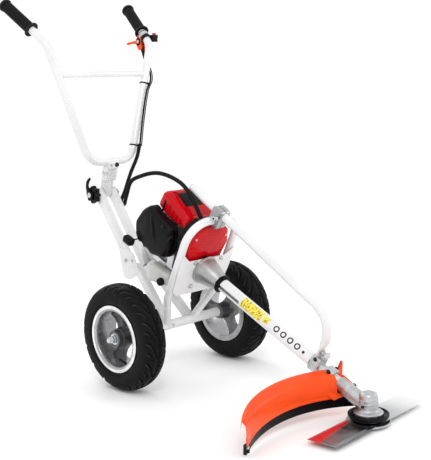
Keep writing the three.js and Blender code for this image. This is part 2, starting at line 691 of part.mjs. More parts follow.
function blade() {
  const [l, w] = [BLADE_LENGTH / 2, BLADE_WIDTH / 2];
  const corners = [[-l, -w], [l, -w], [l, w], [-l, w]];
  const plate = slab(corners, BLADE_BOTTOM, BLADE_BOTTOM + BLADE_THICK, [[0, 0, 12.7]]);
  add(machine, 'blade', plate.rotateZ(BLADE_YAW), STEEL);
  const top = BLADE_BOTTOM + BLADE_THICK + GAP;
  const flange = [
    [6.4, top], [35, top], [42, 17], [49, 20], [51, 24.5], [50.5, 30], [46, 30.5], [41.5, 25.4], [15, 25.4],
    [6.4, 25.4], [6.4, top],
  ];
  add(machine, 'blade_flange', lathe(flange, 22), BLACK_PLASTIC);
  const under = BLADE_BOTTOM - GAP;
  const bowl = [
    [0, 0], [36, 0], [50, 3.5], [BOWL_R, 9.5], [BOWL_R, under], [52.5, under], [48.5, 5.8], [36, 2.2],
    [20, 2.2], [20, under], [11, under], [11, 2.2], [0, 2.2],
  ];
  add(machine, 'skid_bowl', lathe(bowl, 22), STEEL);
}

gearHead();
blade();

// ---------------------------------------------------------------- guard

const GUARD_R = 330; // plan radius of the front wall
const GUARD_CENTRE = [-180, -886];
const GUARD_FROM = 28; // X of the skirt's right end, under the drive tube
const SHELL_FROM = -16.2; // X of the shell's right end, beside the drive tube
const GUARD_TO = -352;
const ROOF_LOSS = 0.75; // share of the roof's reach that is gone at the far end
const GUARD_WALL = 3; // thickness

function guardPath(from, to, steps) {
  const points = [];
  for (let i = 0; i <= steps; i += 1) {
    const x = from + ((to - from) * i) / steps;
    const t = (GUARD_FROM - x) / (GUARD_FROM - GUARD_TO);
    const y = GUARD_CENTRE[1] + Math.sqrt(GUARD_R ** 2 - (x - GUARD_CENTRE[0]) ** 2);
    points.push(v3(x, y, 59 - 6 * t - 18 * t * t));
  }
  return points;
}

// draws the roof in towards the front wall, more and more to the far end
function taperRoof(geometry) {
  const position = geometry.attributes.position;
  const [centreX, centreY] = GUARD_CENTRE;
  for (let i = 0; i < position.count; i += 1) {
    const [dx, dy] = [position.getX(i) - centreX, position.getY(i) - centreY];
    const r = Math.hypot(dx, dy);
    const t = (GUARD_FROM - (centreX + (GUARD_R * dx) / r)) / (GUARD_FROM - GUARD_TO);
    const beyond = Math.max(0, r - GUARD_R - GUARD_WALL);
    const scale = (r - beyond * ROOF_LOSS * t * t) / r;
    position.setXYZ(i, centreX + dx * scale, centreY + dy * scale, position.getZ(i));
  }
  return geometry;
}

const section = (outline) => new THREE.Shape(outline.map(([back, up]) => new THREE.Vector2(-back, up)));

function guard() {
  const shellOutline = [
    [0, 26], [1.5, 58], [6, 72], [15, 79], [44, 87], [52, 83], [56, 68], [53, 68], [49, 80], [43, 83.4],
    [16, 75.6], [9, 70], [4.5, 57], [3, 26],
  ];
  const wing = taperRoof(sweep(section(shellOutline), guardPath(SHELL_FROM, GUARD_TO, 17), v3(0, 0, 1)));
  const shell = cut(wing, box([SHELL_FROM, -700, 0], [100, -400, 300]));
  const ear = slabX([[-550, 110], [-606, 86], [-609, 89], [-606, 92.5], [-552, 115.5]], -40, 62);
  const crest = [[20, 108], [20, 128], [34, 124], [46, 140], [58, 156], [64, 150], [64, 108]];
  const rearWall = slab(crest, 550, 553).rotateX(Math.PI / 2);
  const collarSpace = ring(0, COLLAR_R + 0.6, 525, 570, 20);
  const tubeSpace = driveSolid(join(ring(0, TUBE_R + GAP + 0.3, 400, 552, 20), collarSpace));
  add(chassis, 'guard_shell', cut(join(shell, ear, rearWall), tubeSpace), ORANGE_PLASTIC);
  const skirtOutline = [[4, 0], [4.6, 40], [8, 44], [10.4, 42], [7, 0]];
  const skirt = sweep(section(skirtOutline), guardPath(GUARD_FROM, GUARD_TO + 4, 18), v3(0, 0, 1));
  const earSpace = slabX([[-540, 113], [-640, 69.5], [-640, 150], [-540, 150]], -40.4, 80);
  add(chassis, 'guard_skirt', cut(skirt, earSpace), BLACK_RUBBER);
}

function guardBracket() {
  const block = box([-15.5, -15.5, 486], [15.5, 20, 512]);
  add(drive, 'guard_bracket', cut(block, ring(0, TUBE_R + GAP, 400, 560)), CAST_ALLOY);
}

guard();
guardBracket();

// ---------------------------------------------------------------- engine

function engine() {
  const casing = ring(0, 52, -174, -61);
  const cylinder = box([-45, 30, -160], [45, 96, -66]);
  const nose = box([-50, -48, -100], [50, 48, -61]);
  const body = cut(join(casing, cylinder, nose), ring(0, 10.5, -200, 0, 16));
  add(drive, 'engine_block', body, CAST_ALLOY);
  const crank = [
    [0, -178], [8, -178], [8, -56], [50, -56], [50, -42], [9, -40], [9, 1], [28.5, 2], [28.5, 17], [0, 17],
  ];
  add(drive, 'crankshaft', lathe(crank), STEEL);
}

function fanShroud() {
  const half = [[0, -56], [48, -52], [68, -20], [74, 42], [83, 76], [68, 117], [36, 138]];
  const mirrored = half.slice(1).map(([x, s]) => [-x, s]).reverse();
  const outline = [...half, ...mirrored];
  const shell = slab(outline, -60.7, -12);
  const hollow = slab(outline.map(([x, s]) => [x * 0.94, (s - 30) * 0.94 + 30]), -90, -15);
  add(drive, 'fan_shroud', cut(shell, hollow, ring(0, 38, -100, 10)), RED_PLASTIC);
}

function topCover() {
  const outer = [[-62.5, 98], [-66, 135], [-98, 145], [-165, 167], [-184, 160], [-192, 112], [-150, 97.5]];
  const inner = outer.map(([d, s]) => [-125 + (d + 125) * 0.94, 97 + (s - 97) * 0.94]);
  inner[0][1] = 80;
  inner[inner.length - 1][1] = 80;
  inner[inner.length - 2][1] = 80;
  const shell = sideSlab(outer, -60, 60);
  add(drive, 'top_cover', cut(shell, sideSlab(inner, -57, 57)), RED_PLASTIC);
}

// an outline of [distance along the tube, height] points of the drive frame, pushed along X
function sideSlab(outline, low, high, holes = []) {
  const turned = slab(outline, low, high, holes);
  return closed(turned.applyMatrix4(new THREE.Matrix4().makeBasis(v3(0, 0, 1), v3(0, 1, 0), v3(1, 0, 0))));
}

function airCleaner() {
  const outline = [
    [-75, 4], [-66, 40], [-84, 96], [-150, 106], [-186, 118], [-208, 92], [-224, 44], [-208, 6], [-170, -12],
    [-130, -16],
  ];
  const body = sideSlab(outline, -100, -62);
  const space = join(box([-62, 60, -200], [-50, 175, -60]), box([-90, -90, -60], [90, 140, -10]));
  add(drive, 'air_cleaner', cut(body, space), BLACK_PLASTIC);
  const lever = sideSlab([[-78, 62], [-70, 62], [-60, 86], [-66, 90]], -108, -100.4);
  add(drive, 'choke_lever', lever, BLACK_PLASTIC);
}

function fuelTank() {
  const outline = [[-66, -57], [-66, -92], [-76, -98], [-140, -122], [-150, -116], [-150, -57]];
  const body = sideSlab(outline, -60, 60);
  add(drive, 'fuel_tank', body, TANK_PLASTIC);
  const [capS, capD] = [-88, -86];
  const cap = aim(ring(0, 12, 0, 13, 16), [-60.4, capS, capD], [-90, capS, capD]);
  add(drive, 'fuel_cap', cap, BLACK_PLASTIC);
}

function starter() {
  const dish = [
    [0, -236], [46, -236], [57, -226], [60.5, -192], [60.5, -174.4], [55, -174.4], [55, -190], [42, -226],
    [0, -226],
  ];
  add(drive, 'recoil_housing', lathe(dish), BLACK_PLASTIC);
  const rope = rod([-61.5, -18, -214], [-101, -18, -214], 5, 12);
  add(drive, 'starter_grip', join(rope, box([-120, -29, -232], [-98, -5, -196])), BLACK_RUBBER);
}

function muffler() {
  const body = slab([[62, 15], [96, 15], [100, 20], [100, 82], [94, 88], [62, 88]], -158, -72);
  add(drive, 'muffler', body, STEEL);
}

engine();
fanShroud();
topCover();
airCleaner();
fuelTank();
starter();
muffler();

export default machine;
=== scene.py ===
"""The looks of a wheeled walk-behind brush cutter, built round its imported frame.

Lengths are millimetres in the three frames that the machine is laid out in, and every point is turned into
metres in the row frame as it is added to a piece:
  GROUND   the row frame itself: +Z up, +Y back, origin under the blade
  CHASSIS  leans nose-down about the axle, origin on the ground under the axle
  DRIVE    X across, Y up the engine plate, Z forward along the drive tube, origin on the plate's front face
"""

import json
import math

import bmesh
import bpy
from mathutils import Matrix, Vector


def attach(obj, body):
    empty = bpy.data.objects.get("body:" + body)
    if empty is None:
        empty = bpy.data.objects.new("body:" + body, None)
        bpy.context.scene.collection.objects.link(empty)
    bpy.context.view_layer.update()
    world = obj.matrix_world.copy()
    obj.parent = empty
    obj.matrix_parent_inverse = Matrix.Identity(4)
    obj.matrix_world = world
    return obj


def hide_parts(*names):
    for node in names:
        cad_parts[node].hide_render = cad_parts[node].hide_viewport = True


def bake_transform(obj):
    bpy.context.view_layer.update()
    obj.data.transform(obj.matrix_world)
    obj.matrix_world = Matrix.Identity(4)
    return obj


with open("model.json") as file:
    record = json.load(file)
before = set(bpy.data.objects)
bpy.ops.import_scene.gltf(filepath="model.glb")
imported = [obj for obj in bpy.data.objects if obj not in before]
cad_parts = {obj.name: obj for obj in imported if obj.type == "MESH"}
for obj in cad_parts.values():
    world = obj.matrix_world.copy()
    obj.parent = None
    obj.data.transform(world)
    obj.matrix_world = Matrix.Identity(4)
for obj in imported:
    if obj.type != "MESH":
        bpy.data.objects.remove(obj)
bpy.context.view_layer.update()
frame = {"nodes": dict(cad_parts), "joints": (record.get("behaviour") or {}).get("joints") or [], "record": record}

RECORD = frame["record"]
JOINTS = {joint["name"]: joint for joint in frame["joints"]}
BODY_OF = {node: body for body, nodes in RECORD["behaviour"]["bodies"].items() for node in nodes}
SLOT_OF = {row["node"]: row["material_slot"] for row in RECORD["subparts"]}

MM = 0.001
WHEEL_R = 152.5
MERGE_M = 1e-7  # points of one piece closer than this are one point
CAD_MERGE_M = 1e-5
X_AXIS, Y_AXIS, Z_AXIS = Vector((1, 0, 0)), Vector((0, 1, 0)), Vector((0, 0, 1))


# ---------------------------------------------------------------- frames


def placed(origin, x, y, z):
    """The matrix from millimetres along x, y and z to metres in the row frame."""
    turn = Matrix((x, y, z)).transposed().to_4x4()
    return Matrix.Translation(origin) @ turn @ Matrix.Scale(MM, 4)


GROUND = Matrix.Scale(MM, 4)
AXLE = Vector(JOINTS["wheel_left_spin"]["pos_m"])
WHEEL_X = AXLE.x / MM
LEAN_UP = -Vector(JOINTS["stop_button_press"]["axis"]).normalized()
CHASSIS = placed(Vector((0, AXLE.y, AXLE.z)) - LEAN_UP * WHEEL_R * MM, X_AXIS, LEAN_UP.cross(X_AXIS), LEAN_UP)
PLATE = Vector(JOINTS["drive_shaft_spin"]["pos_m"])
FORWARD = -Vector(JOINTS["drive_shaft_spin"]["axis"]).normalized()
DRIVE = placed(PLATE, X_AXIS, FORWARD.cross(X_AXIS), FORWARD)
DRIVE_TO_CHASSIS = CHASSIS.inverted() @ DRIVE
SHAFT_REACH = (PLATE.y / MM) / -FORWARD.y
APEX_Z = (PLATE.z / MM) + SHAFT_REACH * FORWARD.z


def drive_point(x, s, d):
    """A point of the drive frame, in the chassis frame."""
    return DRIVE_TO_CHASSIS @ Vector((x, s, d))


def chassis_point(x, y, z):
    """A point of the chassis frame, in the drive frame."""
    return DRIVE_TO_CHASSIS.inverted() @ Vector((x, y, z))


# ---------------------------------------------------------------- camera, light and floor

CAMERA_AT = (-1.8042, -1.2899, 0.8269)
CAMERA_BACK = Vector((-0.6765, -0.7193, 0.1580)).normalized()
CAMERA_RIGHT = Vector((0.7239, -0.6889, -0.0365))
LENS_MM = 72.19
SHIFT = (0.0613, 0.0202)
WORLD_STRENGTH = 1.04
FLOOR_HALF = 40  # metres


def make_camera():
    data = bpy.data.cameras.new("camera")
    data.lens = LENS_MM
    data.shift_x, data.shift_y = SHIFT
    camera = bpy.data.objects.new("camera", data)
    up = CAMERA_BACK.cross(CAMERA_RIGHT).normalized()
    right = up.cross(CAMERA_BACK)
    turn = Matrix((right, up, CAMERA_BACK)).transposed().to_4x4()
    camera.matrix_world = Matrix.Translation(CAMERA_AT) @ turn
    bpy.context.scene.collection.objects.link(camera)
    bpy.context.scene.camera = camera


def make_light(name, at, aim, size, watts):
    data = bpy.data.lights.new(name, "AREA")
    data.shape = "DISK"
    data.size = size
    data.energy = watts
    light = bpy.data.objects.new(name, data)
    light.location = at
    light.rotation_mode = "QUATERNION"
    light.rotation_quaternion = (Vector(aim) - Vector(at)).to_track_quat("-Z", "Y")
    bpy.context.scene.collection.objects.link(light)


def make_studio():
    world = bpy.data.worlds.new("studio")
    bpy.context.scene.world = world
    world.use_nodes = True
    world.node_tree.nodes["Background"].inputs["Color"].default_value = (1.0, 1.0, 1.0, 1)
    world.node_tree.nodes["Background"].inputs["Strength"].default_value = WORLD_STRENGTH
    bpy.context.scene.view_settings.view_transform = "Standard"
    middle = (0, 0.5, 0.4)
    make_light("key", (-2.2, -1.6, 3.0), middle, 1.2, 30)
    make_light("fill", (2.6, -1.4, 1.8), middle, 1.6, 12)
    make_light("back", (0.8, 3.2, 2.6), middle, 1.2, 20)
    mesh = bpy.data.meshes.new("floor")
    corners = [(x * FLOOR_HALF, y * FLOOR_HALF, -MM) for x, y in ((-1, -1), (1, -1), (1, 1), (-1, 1))]
    mesh.from_pydata(corners, [], [(0, 1, 2, 3)])
    floor = bpy.data.objects.new("floor", mesh)
    bpy.context.scene.collection.objects.link(floor)
    floor.data.materials.append(floor_material())


# ---------------------------------------------------------------- materials


class Finish:
    """A material whose nodes are added by short calls. Places are object coordinates, in metres."""

    def __init__(self, name, color, roughness, metallic=0.0, **sockets):
        self.material = bpy.data.materials.new(name)
        self.material.use_nodes = True
        self.nodes = self.material.node_tree.nodes
        self.links = self.material.node_tree.links
        self.shader = self.nodes["Principled BSDF"]
        self.place = self.nodes.new("ShaderNodeTexCoord").outputs["Object"]
        self.color = color
        self.set("Base Color", (*color, 1))
        self.set("Roughness", roughness)
        self.set("Metallic", metallic)
        for socket, value in sockets.items():
            self.set(socket.replace("_", " "), value)
        self.bumps = []

    def set(self, socket, value):
        self.shader.inputs[socket].default_value = value

    def node(self, kind, **settings):
        made = self.nodes.new(kind)
        for key, value in settings.items():
            setattr(made, key, value)
        return made

    def feed(self, socket, value):
        if isinstance(value, bpy.types.NodeSocket):
            self.links.new(value, socket)
        else:
            socket.default_value = value

    def stretched(self, scale):
        mapping = self.node("ShaderNodeMapping")
        self.feed(mapping.inputs["Vector"], self.place)
        mapping.inputs["Scale"].default_value = scale
        return mapping.outputs["Vector"]

    def grain(self, scale, detail=4.0, place=None):
        made = self.node("ShaderNodeTexNoise")
        self.feed(made.inputs["Vector"], place or self.place)
        made.inputs["Scale"].default_value = scale
        made.inputs["Detail"].default_value = detail
        return made.outputs["Fac"]

    def cells(self, scale):
        made = self.node("ShaderNodeTexVoronoi")
        self.feed(made.inputs["Vector"], self.place)
        made.inputs["Scale"].default_value = scale
        return made.outputs["Distance"]

    def spread(self, value, low, high, to_low=0.0, to_high=1.0):
        made = self.node("ShaderNodeMapRange", interpolation_type="SMOOTHSTEP")
        self.feed(made.inputs["Value"], value)
        for name, number in zip(("From Min", "From Max", "To Min", "To Max"), (low, high, to_low, to_high)):
            made.inputs[name].default_value = number
        return made.outputs["Result"]

    def maths(self, operation, a, b=0.0):
        made = self.node("ShaderNodeMath", operation=operation)
        self.feed(made.inputs[0], a)
        self.feed(made.inputs[1], b)
        return made.outputs["Value"]

    def mixed(self, share, a, b):
        made = self.node("ShaderNodeMix", data_type="RGBA")
        self.feed(made.inputs["Factor"], share)
        for socket, value in ((made.inputs["A"], a), (made.inputs["B"], b)):
            self.feed(socket, value if isinstance(value, bpy.types.NodeSocket) else (*value, 1))
        return made.outputs["Result"]

    def paint(self, color):
        self.feed(self.shader.inputs["Base Color"], color)

    def shade(self, value):
        self.feed(self.shader.inputs["Roughness"], value)

    def bump(self, height, depth_mm, strength=1.0):
        made = self.node("ShaderNodeBump")
        made.inputs["Strength"].default_value = strength
        made.inputs["Distance"].default_value = depth_mm * MM
        self.feed(made.inputs["Height"], height)
        if self.bumps:
            self.links.new(self.bumps[-1], made.inputs["Normal"])
        self.bumps.append(made.outputs["Normal"])
        self.feed(self.shader.inputs["Normal"], made.outputs["Normal"])

    def worn_edges(self, low=0.52, high=0.58):
        return self.spread(self.node("ShaderNodeNewGeometry").outputs["Pointiness"], low, high)

    def axes(self):
        split = self.node("ShaderNodeSeparateXYZ")
        self.feed(split.inputs["Vector"], self.place)
        return split.outputs


def tinted(color, factor):
    return tuple(min(1.0, channel * factor) for channel in color)


def painted(name, color, roughness=0.22):
    """Powder coat or gloss paint: faint orange peel, a little cloudiness and dust."""
    finish = Finish(name, color, roughness, Coat_Weight=0.5, Coat_Roughness=0.08)
    cloud = finish.spread(finish.grain(9, 5), 0.35, 0.7)
    finish.paint(finish.mixed(cloud, tinted(color, 0.94), color))
    finish.shade(finish.spread(finish.grain(40, 6), 0.3, 0.75, roughness * 0.8, roughness * 1.4))
    finish.bump(finish.grain(420, 2), 0.04, 0.5)
    return finish.material


def plastic(name, color, roughness, depth_mm=0.05, coat=0.0, specular=0.3):
    """Moulded plastic with a fine spark-eroded grain and paler worn edges."""
    finish = Finish(
        name, color, roughness, Coat_Weight=coat, Coat_Roughness=0.06, Specular_IOR_Level=specular
    )
    cloud = finish.spread(finish.grain(14, 5), 0.35, 0.7)
    body = finish.mixed(cloud, tinted(color, 0.86), tinted(color, 1.06))
    worn = finish.maths("MULTIPLY", finish.worn_edges(), 0.35)
    finish.paint(finish.mixed(worn, body, tinted([c + 0.015 for c in color], 1.5)))
    finish.shade(finish.spread(finish.grain(60, 6), 0.3, 0.75, roughness * 0.85, roughness * 1.25))
    finish.bump(finish.cells(1500), depth_mm, 0.5)
    return finish.material


def rubber(name, color, roughness=0.75, scuff_and_sheen_share=0.25):
    """Moulded rubber: matt, with a little dust and paler convex edges: scuffs, and with a large share, as on the
    tyre, a painted highlight on the raised tread edges.
    """
    finish = Finish(name, color, roughness, Specular_IOR_Level=0.1)
    dust = finish.spread(finish.grain(22, 7), 0.5, 0.8, 0.0, 0.3)
    dusty = finish.mixed(dust, color, tinted([c + 0.01 for c in color], 1.5))
    # paler convex edges: scuffing, plus a painted highlight (sheen) on raised edges when the share is large
    scuff_and_sheen = finish.maths("MULTIPLY", finish.worn_edges(), scuff_and_sheen_share)
    finish.paint(finish.mixed(scuff_and_sheen, dusty, (0.075, 0.075, 0.078)))
    finish.shade(finish.spread(finish.grain(90, 5), 0.3, 0.7, roughness * 0.85, min(1, roughness * 1.15)))
    finish.bump(finish.grain(900, 3), 0.08, 0.6)
    return finish.material


def cast(name, color, roughness, depth_mm=0.12):
    """Die-cast alloy: a sandy skin, soft blotches, brighter on its edges."""
    finish = Finish(name, color, roughness, 0.9)
    blotch = finish.spread(finish.grain(30, 6), 0.35, 0.7)
    worn = finish.maths("MULTIPLY", finish.worn_edges(), 0.6)
    skin = finish.mixed(blotch, tinted(color, 0.8), color)
    finish.paint(finish.mixed(worn, skin, tinted(color, 1.35)))
    finish.shade(finish.spread(finish.grain(150, 5), 0.3, 0.7, roughness * 0.8, roughness * 1.3))
    finish.bump(finish.grain(700, 4), depth_mm, 0.6)
    return finish.material


def brushed(name, color, roughness, stretch=(4, 900, 900)):
    """Ground or drawn steel with fine lines along one way."""
    finish = Finish(name, color, roughness, 1.0)
    lines = finish.grain(1.0, 3, finish.stretched(stretch))
    finish.paint(finish.mixed(finish.spread(lines, 0.3, 0.7), tinted(color, 0.82), tinted(color, 1.1)))
    finish.shade(finish.spread(finish.grain(25, 6), 0.3, 0.75, roughness * 0.75, roughness * 1.35))
    finish.bump(lines, 0.03, 0.5)
    return finish.material


def blade_steel():
    """Ground blade steel with painted light along its length: painted shade towards the -X end, a painted
    highlight towards the +X end, and a red painted corner.
    """
    color = (0.60, 0.61, 0.62)
    finish = Finish("blade_steel", color, 0.3, 1.0)
    lines = finish.grain(1.0, 3, finish.stretched((6, 700, 700)))
    along = finish.axes()
    steel = finish.mixed(finish.spread(lines, 0.3, 0.7), tinted(color, 0.8), tinted(color, 1.1))
    # painted shade: the steel darkens towards the -X end of the blade
    steel = finish.mixed(finish.spread(along["X"], -0.04, 0.07, 0.75, 0.1), steel, (0.16, 0.16, 0.165))
    # painted highlight: the steel turns near white towards the +X end of the blade
    steel = finish.mixed(finish.spread(along["X"], 0.06, 0.19, 0.0, 0.85), steel, (0.95, 0.95, 0.95))
    reach = finish.maths("ADD", finish.maths("MULTIPLY", along["X"], -0.19), along["Y"])
    ragged = finish.maths("ADD", reach, finish.maths("MULTIPLY", finish.grain(60, 3), 0.003))
    red = finish.maths(
        "MULTIPLY", finish.spread(ragged, 0.029, 0.034), finish.spread(along["X"], -0.035, -0.055)
    )
    finish.paint(finish.mixed(red, steel, (0.60, 0.008, 0.012)))
    finish.feed(finish.shader.inputs["Metallic"], finish.spread(red, 0.0, 1.0, 1.0, 0.1))
    finish.shade(finish.spread(finish.grain(18, 6), 0.3, 0.75, 0.2, 0.42))
    finish.bump(lines, 0.03, 0.5)
    return finish.material


def tank_material():
    """Milky blow-moulded plastic with fuel inside, darker where it is full."""
    color = (0.66, 0.67, 0.65)
    finish = Finish(
        "tank_plastic", color, 0.38, Subsurface_Weight=0.25, Subsurface_Radius=(0.004, 0.004, 0.004)
    )
    finish.set("Subsurface Scale", 1.0)
    speckle = finish.spread(finish.grain(500, 2), 0.45, 0.7, 0.0, 0.4)
    level = finish.spread(finish.axes()["Z"], 0.285, 0.275, 0.0, 0.35)
    milky = finish.mixed(speckle, color, tinted(color, 0.7))
    finish.paint(finish.mixed(level, milky, (0.52, 0.50, 0.42)))
    finish.bump(finish.cells(900), 0.08, 0.5)
    return finish.material


def yellow_label():
    """A printed yellow band with plain dark bars."""
    finish = Finish("yellow_label", (0.9, 0.72, 0.05), 0.35, Coat_Weight=0.4)
    bars = finish.grain(1.0, 1, finish.stretched((30, 260, 260)))
    finish.paint(
        finish.mixed(finish.spread(bars, 0.56, 0.6, 0.0, 0.8), (0.9, 0.72, 0.05), (0.06, 0.05, 0.03))
    )
    finish.bump(finish.grain(400, 2), 0.03, 0.5)
    return finish.material


def floor_material():
    finish = Finish("floor_paper", (0.97, 0.97, 0.97), 0.9, Specular_IOR_Level=0.0)
    finish.paint(finish.mixed(finish.grain(1.5, 3), (0.97, 0.97, 0.97), (0.98, 0.98, 0.98)))
    return finish.material


MATERIALS = {
    # the tyre's edge share of 0.7 paints a highlight on the tread's raised edges, so the grooves stay darker
    "tyre": rubber("tyre_rubber", (0.003, 0.003, 0.0035), 0.5, 0.7),
    "cast_dark": cast("rim_alloy", (0.16, 0.16, 0.165), 0.38),
    "zinc_steel": brushed("zinc_steel", (0.62, 0.63, 0.65), 0.28, (300, 300, 300)),
    "white_paint": painted("white_paint", (0.78, 0.78, 0.785)),
    "black_rubber": rubber("black_rubber", (0.0035, 0.0035, 0.004), 0.5),
    "black_plastic": plastic("black_plastic", (0.003, 0.003, 0.004), 0.34, 0.05, 0.03, 0.12),
    "orange_plastic": plastic("orange_plastic", (0.95, 0.078, 0.006), 0.36, 0.03, 0.05, 0.2),
    "red_plastic": plastic("red_plastic", (0.56, 0.001, 0.006), 0.14, 0.01, 0.3, 0.05),
    "cast_alloy": cast("cast_alloy", (0.62, 0.63, 0.64), 0.34),
    "brushed_steel": brushed("brushed_steel", (0.6, 0.61, 0.62), 0.26),
    "tank_plastic": tank_material(),
    "heat_shield": cast("heat_shield", (0.16, 0.155, 0.15), 0.5),
}
BRIGHT_ALLOY = cast("bright_alloy", (0.54, 0.55, 0.56), 0.36, 0.006)
BLADE_STEEL = blade_steel()
BOLT_BLACK = cast("blacked_steel", (0.05, 0.05, 0.055), 0.4, 0.03)
SATIN_BELL = cast("satin_bell", (0.50, 0.50, 0.50), 0.36, 0.012)
RIM_SILVER = cast("rim_silver", (0.42, 0.42, 0.43), 0.3, 0.03)
RIM_LIP = cast("rim_lip", (0.9, 0.9, 0.9), 0.2, 0.01)
YELLOW = yellow_label()
BLACK = MATERIALS["black_plastic"]
STEEL = MATERIALS["zinc_steel"]
ORANGE = MATERIALS["orange_plastic"]
RED = MATERIALS["red_plastic"]
WHITE = MATERIALS["white_paint"]
RUBBER = MATERIALS["black_rubber"]


# ---------------------------------------------------------------- mesh building


def lifted(point, height, across):
    """The place of a flat outline's point at a height along one axis."""
    spot = [point[0], point[1]]
    spot.insert("xyz".index(across), height)
    return tuple(spot)


def round_angles(sides):
    return [2 * math.pi * k / sides for k in range(sides)]


class Shape:
    """The points and faces of one piece, added in the millimetres of one frame."""

    def __init__(self, base):
        self.base = base
        self.points = []
        self.faces = []
        self.paints = []

    def skin(self, rings, paint=0, loop=False, caps=True):
        """Faces between rings of the same number of points. A ring of one point is a pole."""
        starts = []
        for ring in rings:
            starts.append(len(self.points))
            self.points.extend(self.base @ Vector(point) for point in ring)
        pairs = list(zip(range(len(rings)), range(1, len(rings))))
        if loop:
            pairs.append((len(rings) - 1, 0))
        for i, j in pairs:
            a, b, n, m = starts[i], starts[j], len(rings[i]), len(rings[j])
            for k in range(max(n, m)):
                one = [a + k % n, a + (k + 1) % n, b + (k + 1) % m, b + k % m]
                self.add_face(list(dict.fromkeys(one)), paint)
        if caps and not loop:
            for i in (0, len(rings) - 1):
                if len(rings[i]) > 2:
                    self.add_face([starts[i] + k for k in range(len(rings[i]))], paint)

    def add_face(self, corners, paint):
        if len(corners) > 2:
            self.faces.append(corners)
            self.paints.append(paint)

    def lathe(self, profile, start=(0, 0, 0), along=(0, 0, 1), sides=48, paint=0):
        """(radius, height) points turned about a line. A profile closes unless both ends are on the line."""
        z = Vector(along).normalized()
        x = z.orthogonal().normalized()
        y = z.cross(x)
        rings = []
        for radius, height in profile:
            middle = Vector(start) + z * height
            if radius < 1e-6:
                rings.append([middle])
                continue
            rings.append([middle + (x * math.cos(a) + y * math.sin(a)) * radius for a in round_angles(sides)])
        on_line = profile[0][0] < 1e-6 and profile[-1][0] < 1e-6
        self.skin(rings, paint, loop=not on_line)

    def rod(self, start, end, radius, sides=32, paint=0):
        length = (Vector(end) - Vector(start)).length
        profile = [(0, 0), (radius, 0), (radius, length), (0, length)]
        self.lathe(profile, start, Vector(end) - Vector(start), sides, paint)

    def tube(self, path, radius, sides=24, paint=0):
        """A round tube along points. radius may be a function of the distance along it."""
        rings = []
        gone = 0.0
        for i, (point, x, y) in enumerate(frames_along(path)):
            if i:
                gone += (path[i] - path[i - 1]).length
            r = radius(gone) if callable(radius) else radius
            rings.append([point + (x * math.cos(a) + y * math.sin(a)) * r for a in round_angles(sides)])
        self.skin(rings, paint)

    def slab(self, outline, low, high, across="x", paint=0):
        """An outline pushed along one axis. Outline points are the other two coordinates, in order."""
        self.skin([[lifted(p, height, across) for p in outline] for height in (low, high)], paint)

    def crowned(self, outline, layers, across="x", paint=0):
        """An outline pushed through layers (height, inset), each drawn in by its inset, to round the ends."""
        rings = []
        for height, inset in layers:
            rings.append([lifted(p, height, across) for p in inset_outline(outline, inset)])
        self.skin(rings, paint)

    def block(self, low, high, paint=0, turn=None):
        corners = [(low[0], low[1]), (high[0], low[1]), (high[0], high[1]), (low[0], high[1])]
        rings = [[Vector((x, y, z)) for x, y in corners] for z in (low[2], high[2])]
        if turn is not None:
            rings = [[turn @ point for point in ring] for ring in rings]
        self.skin(rings, paint)

    def bolt(self, at, along, radius=5.0, height=3.5, paint=0, kind="hex"):
        """A bolt head on its washer, standing up from a point. The "socket" kind is round with a hole."""
        z = Vector(along).normalized()
        at = Vector(at)
        washer = [(0, 0), (radius * 1.45, 0), (radius * 1.45, 0.9), (0, 0.9)]
        self.lathe(washer, at, z, 28, paint)
        if kind == "hex":
            head = [
                (0, 0.9), (radius, 0.9), (radius, height), (radius * 0.82, height + 0.6), (0, height + 0.6)
            ]
            self.lathe(head, at, z, 6, paint)
        else:
            r, h = radius * 0.5, height + 0.9
            head = [(0, 0.9), (radius, 0.9), (radius, h), (r, h), (r, 2.2), (0, 2.2)]
            self.lathe(head, at, z, 24, paint)


def inset_outline(outline, inset):
    """The outline with each side moved inwards by inset; its corners stay the same in number."""
    if not inset:
        return outline
    points = [Vector(p) for p in outline]
    area = sum(a.x * b.y - b.x * a.y for a, b in zip(points, points[1:] + points[:1]))
    sign = 1 if area > 0 else -1
    moved = []
    for i, point in enumerate(points):
        back = (point - points[i - 1]).normalized()
        ahead = (points[(i + 1) % len(points)] - point).normalized()
        n1, n2 = Vector((-back.y, back.x)) * sign, Vector((-ahead.y, ahead.x)) * sign
        middle = n1 + n2
        reach = inset / max(0.5, 1 + n1.dot(n2))
        moved.append(tuple(point + middle * reach))
    return moved


def frames_along(path):
    """(point, x, y) for each point of a path, with x and y square to it and turning as little as they can."""
    out = []
    x = None
    for i, point in enumerate(path):
        tangent = (path[min(i + 1, len(path) - 1)] - path[max(i - 1, 0)]).normalized()
        x = tangent.orthogonal().normalized() if x is None else (x - tangent * x.dot(tangent)).normalized()
        out.append((point, x, tangent.cross(x)))
    return out


def bend(corners, steps=10):
    """Corner points (x, y, z, bend radius), each corner replaced by an arc."""
    points = []
    for i, (x, y, z, radius) in enumerate(corners):
        corner = Vector((x, y, z))
        if not radius:
            points.append(corner)
            continue
        back = (Vector(corners[i - 1][:3]) - corner).normalized()
        ahead = (Vector(corners[i + 1][:3]) - corner).normalized()
        half = back.angle(ahead) / 2
        reach = radius / math.tan(half)
        centre = corner + (back + ahead).normalized() * (radius / math.sin(half))
        start, end = corner + back * reach - centre, corner + ahead * reach - centre
        points.extend(centre + start.slerp(end, k / steps) * radius for k in range(steps + 1))
    return points


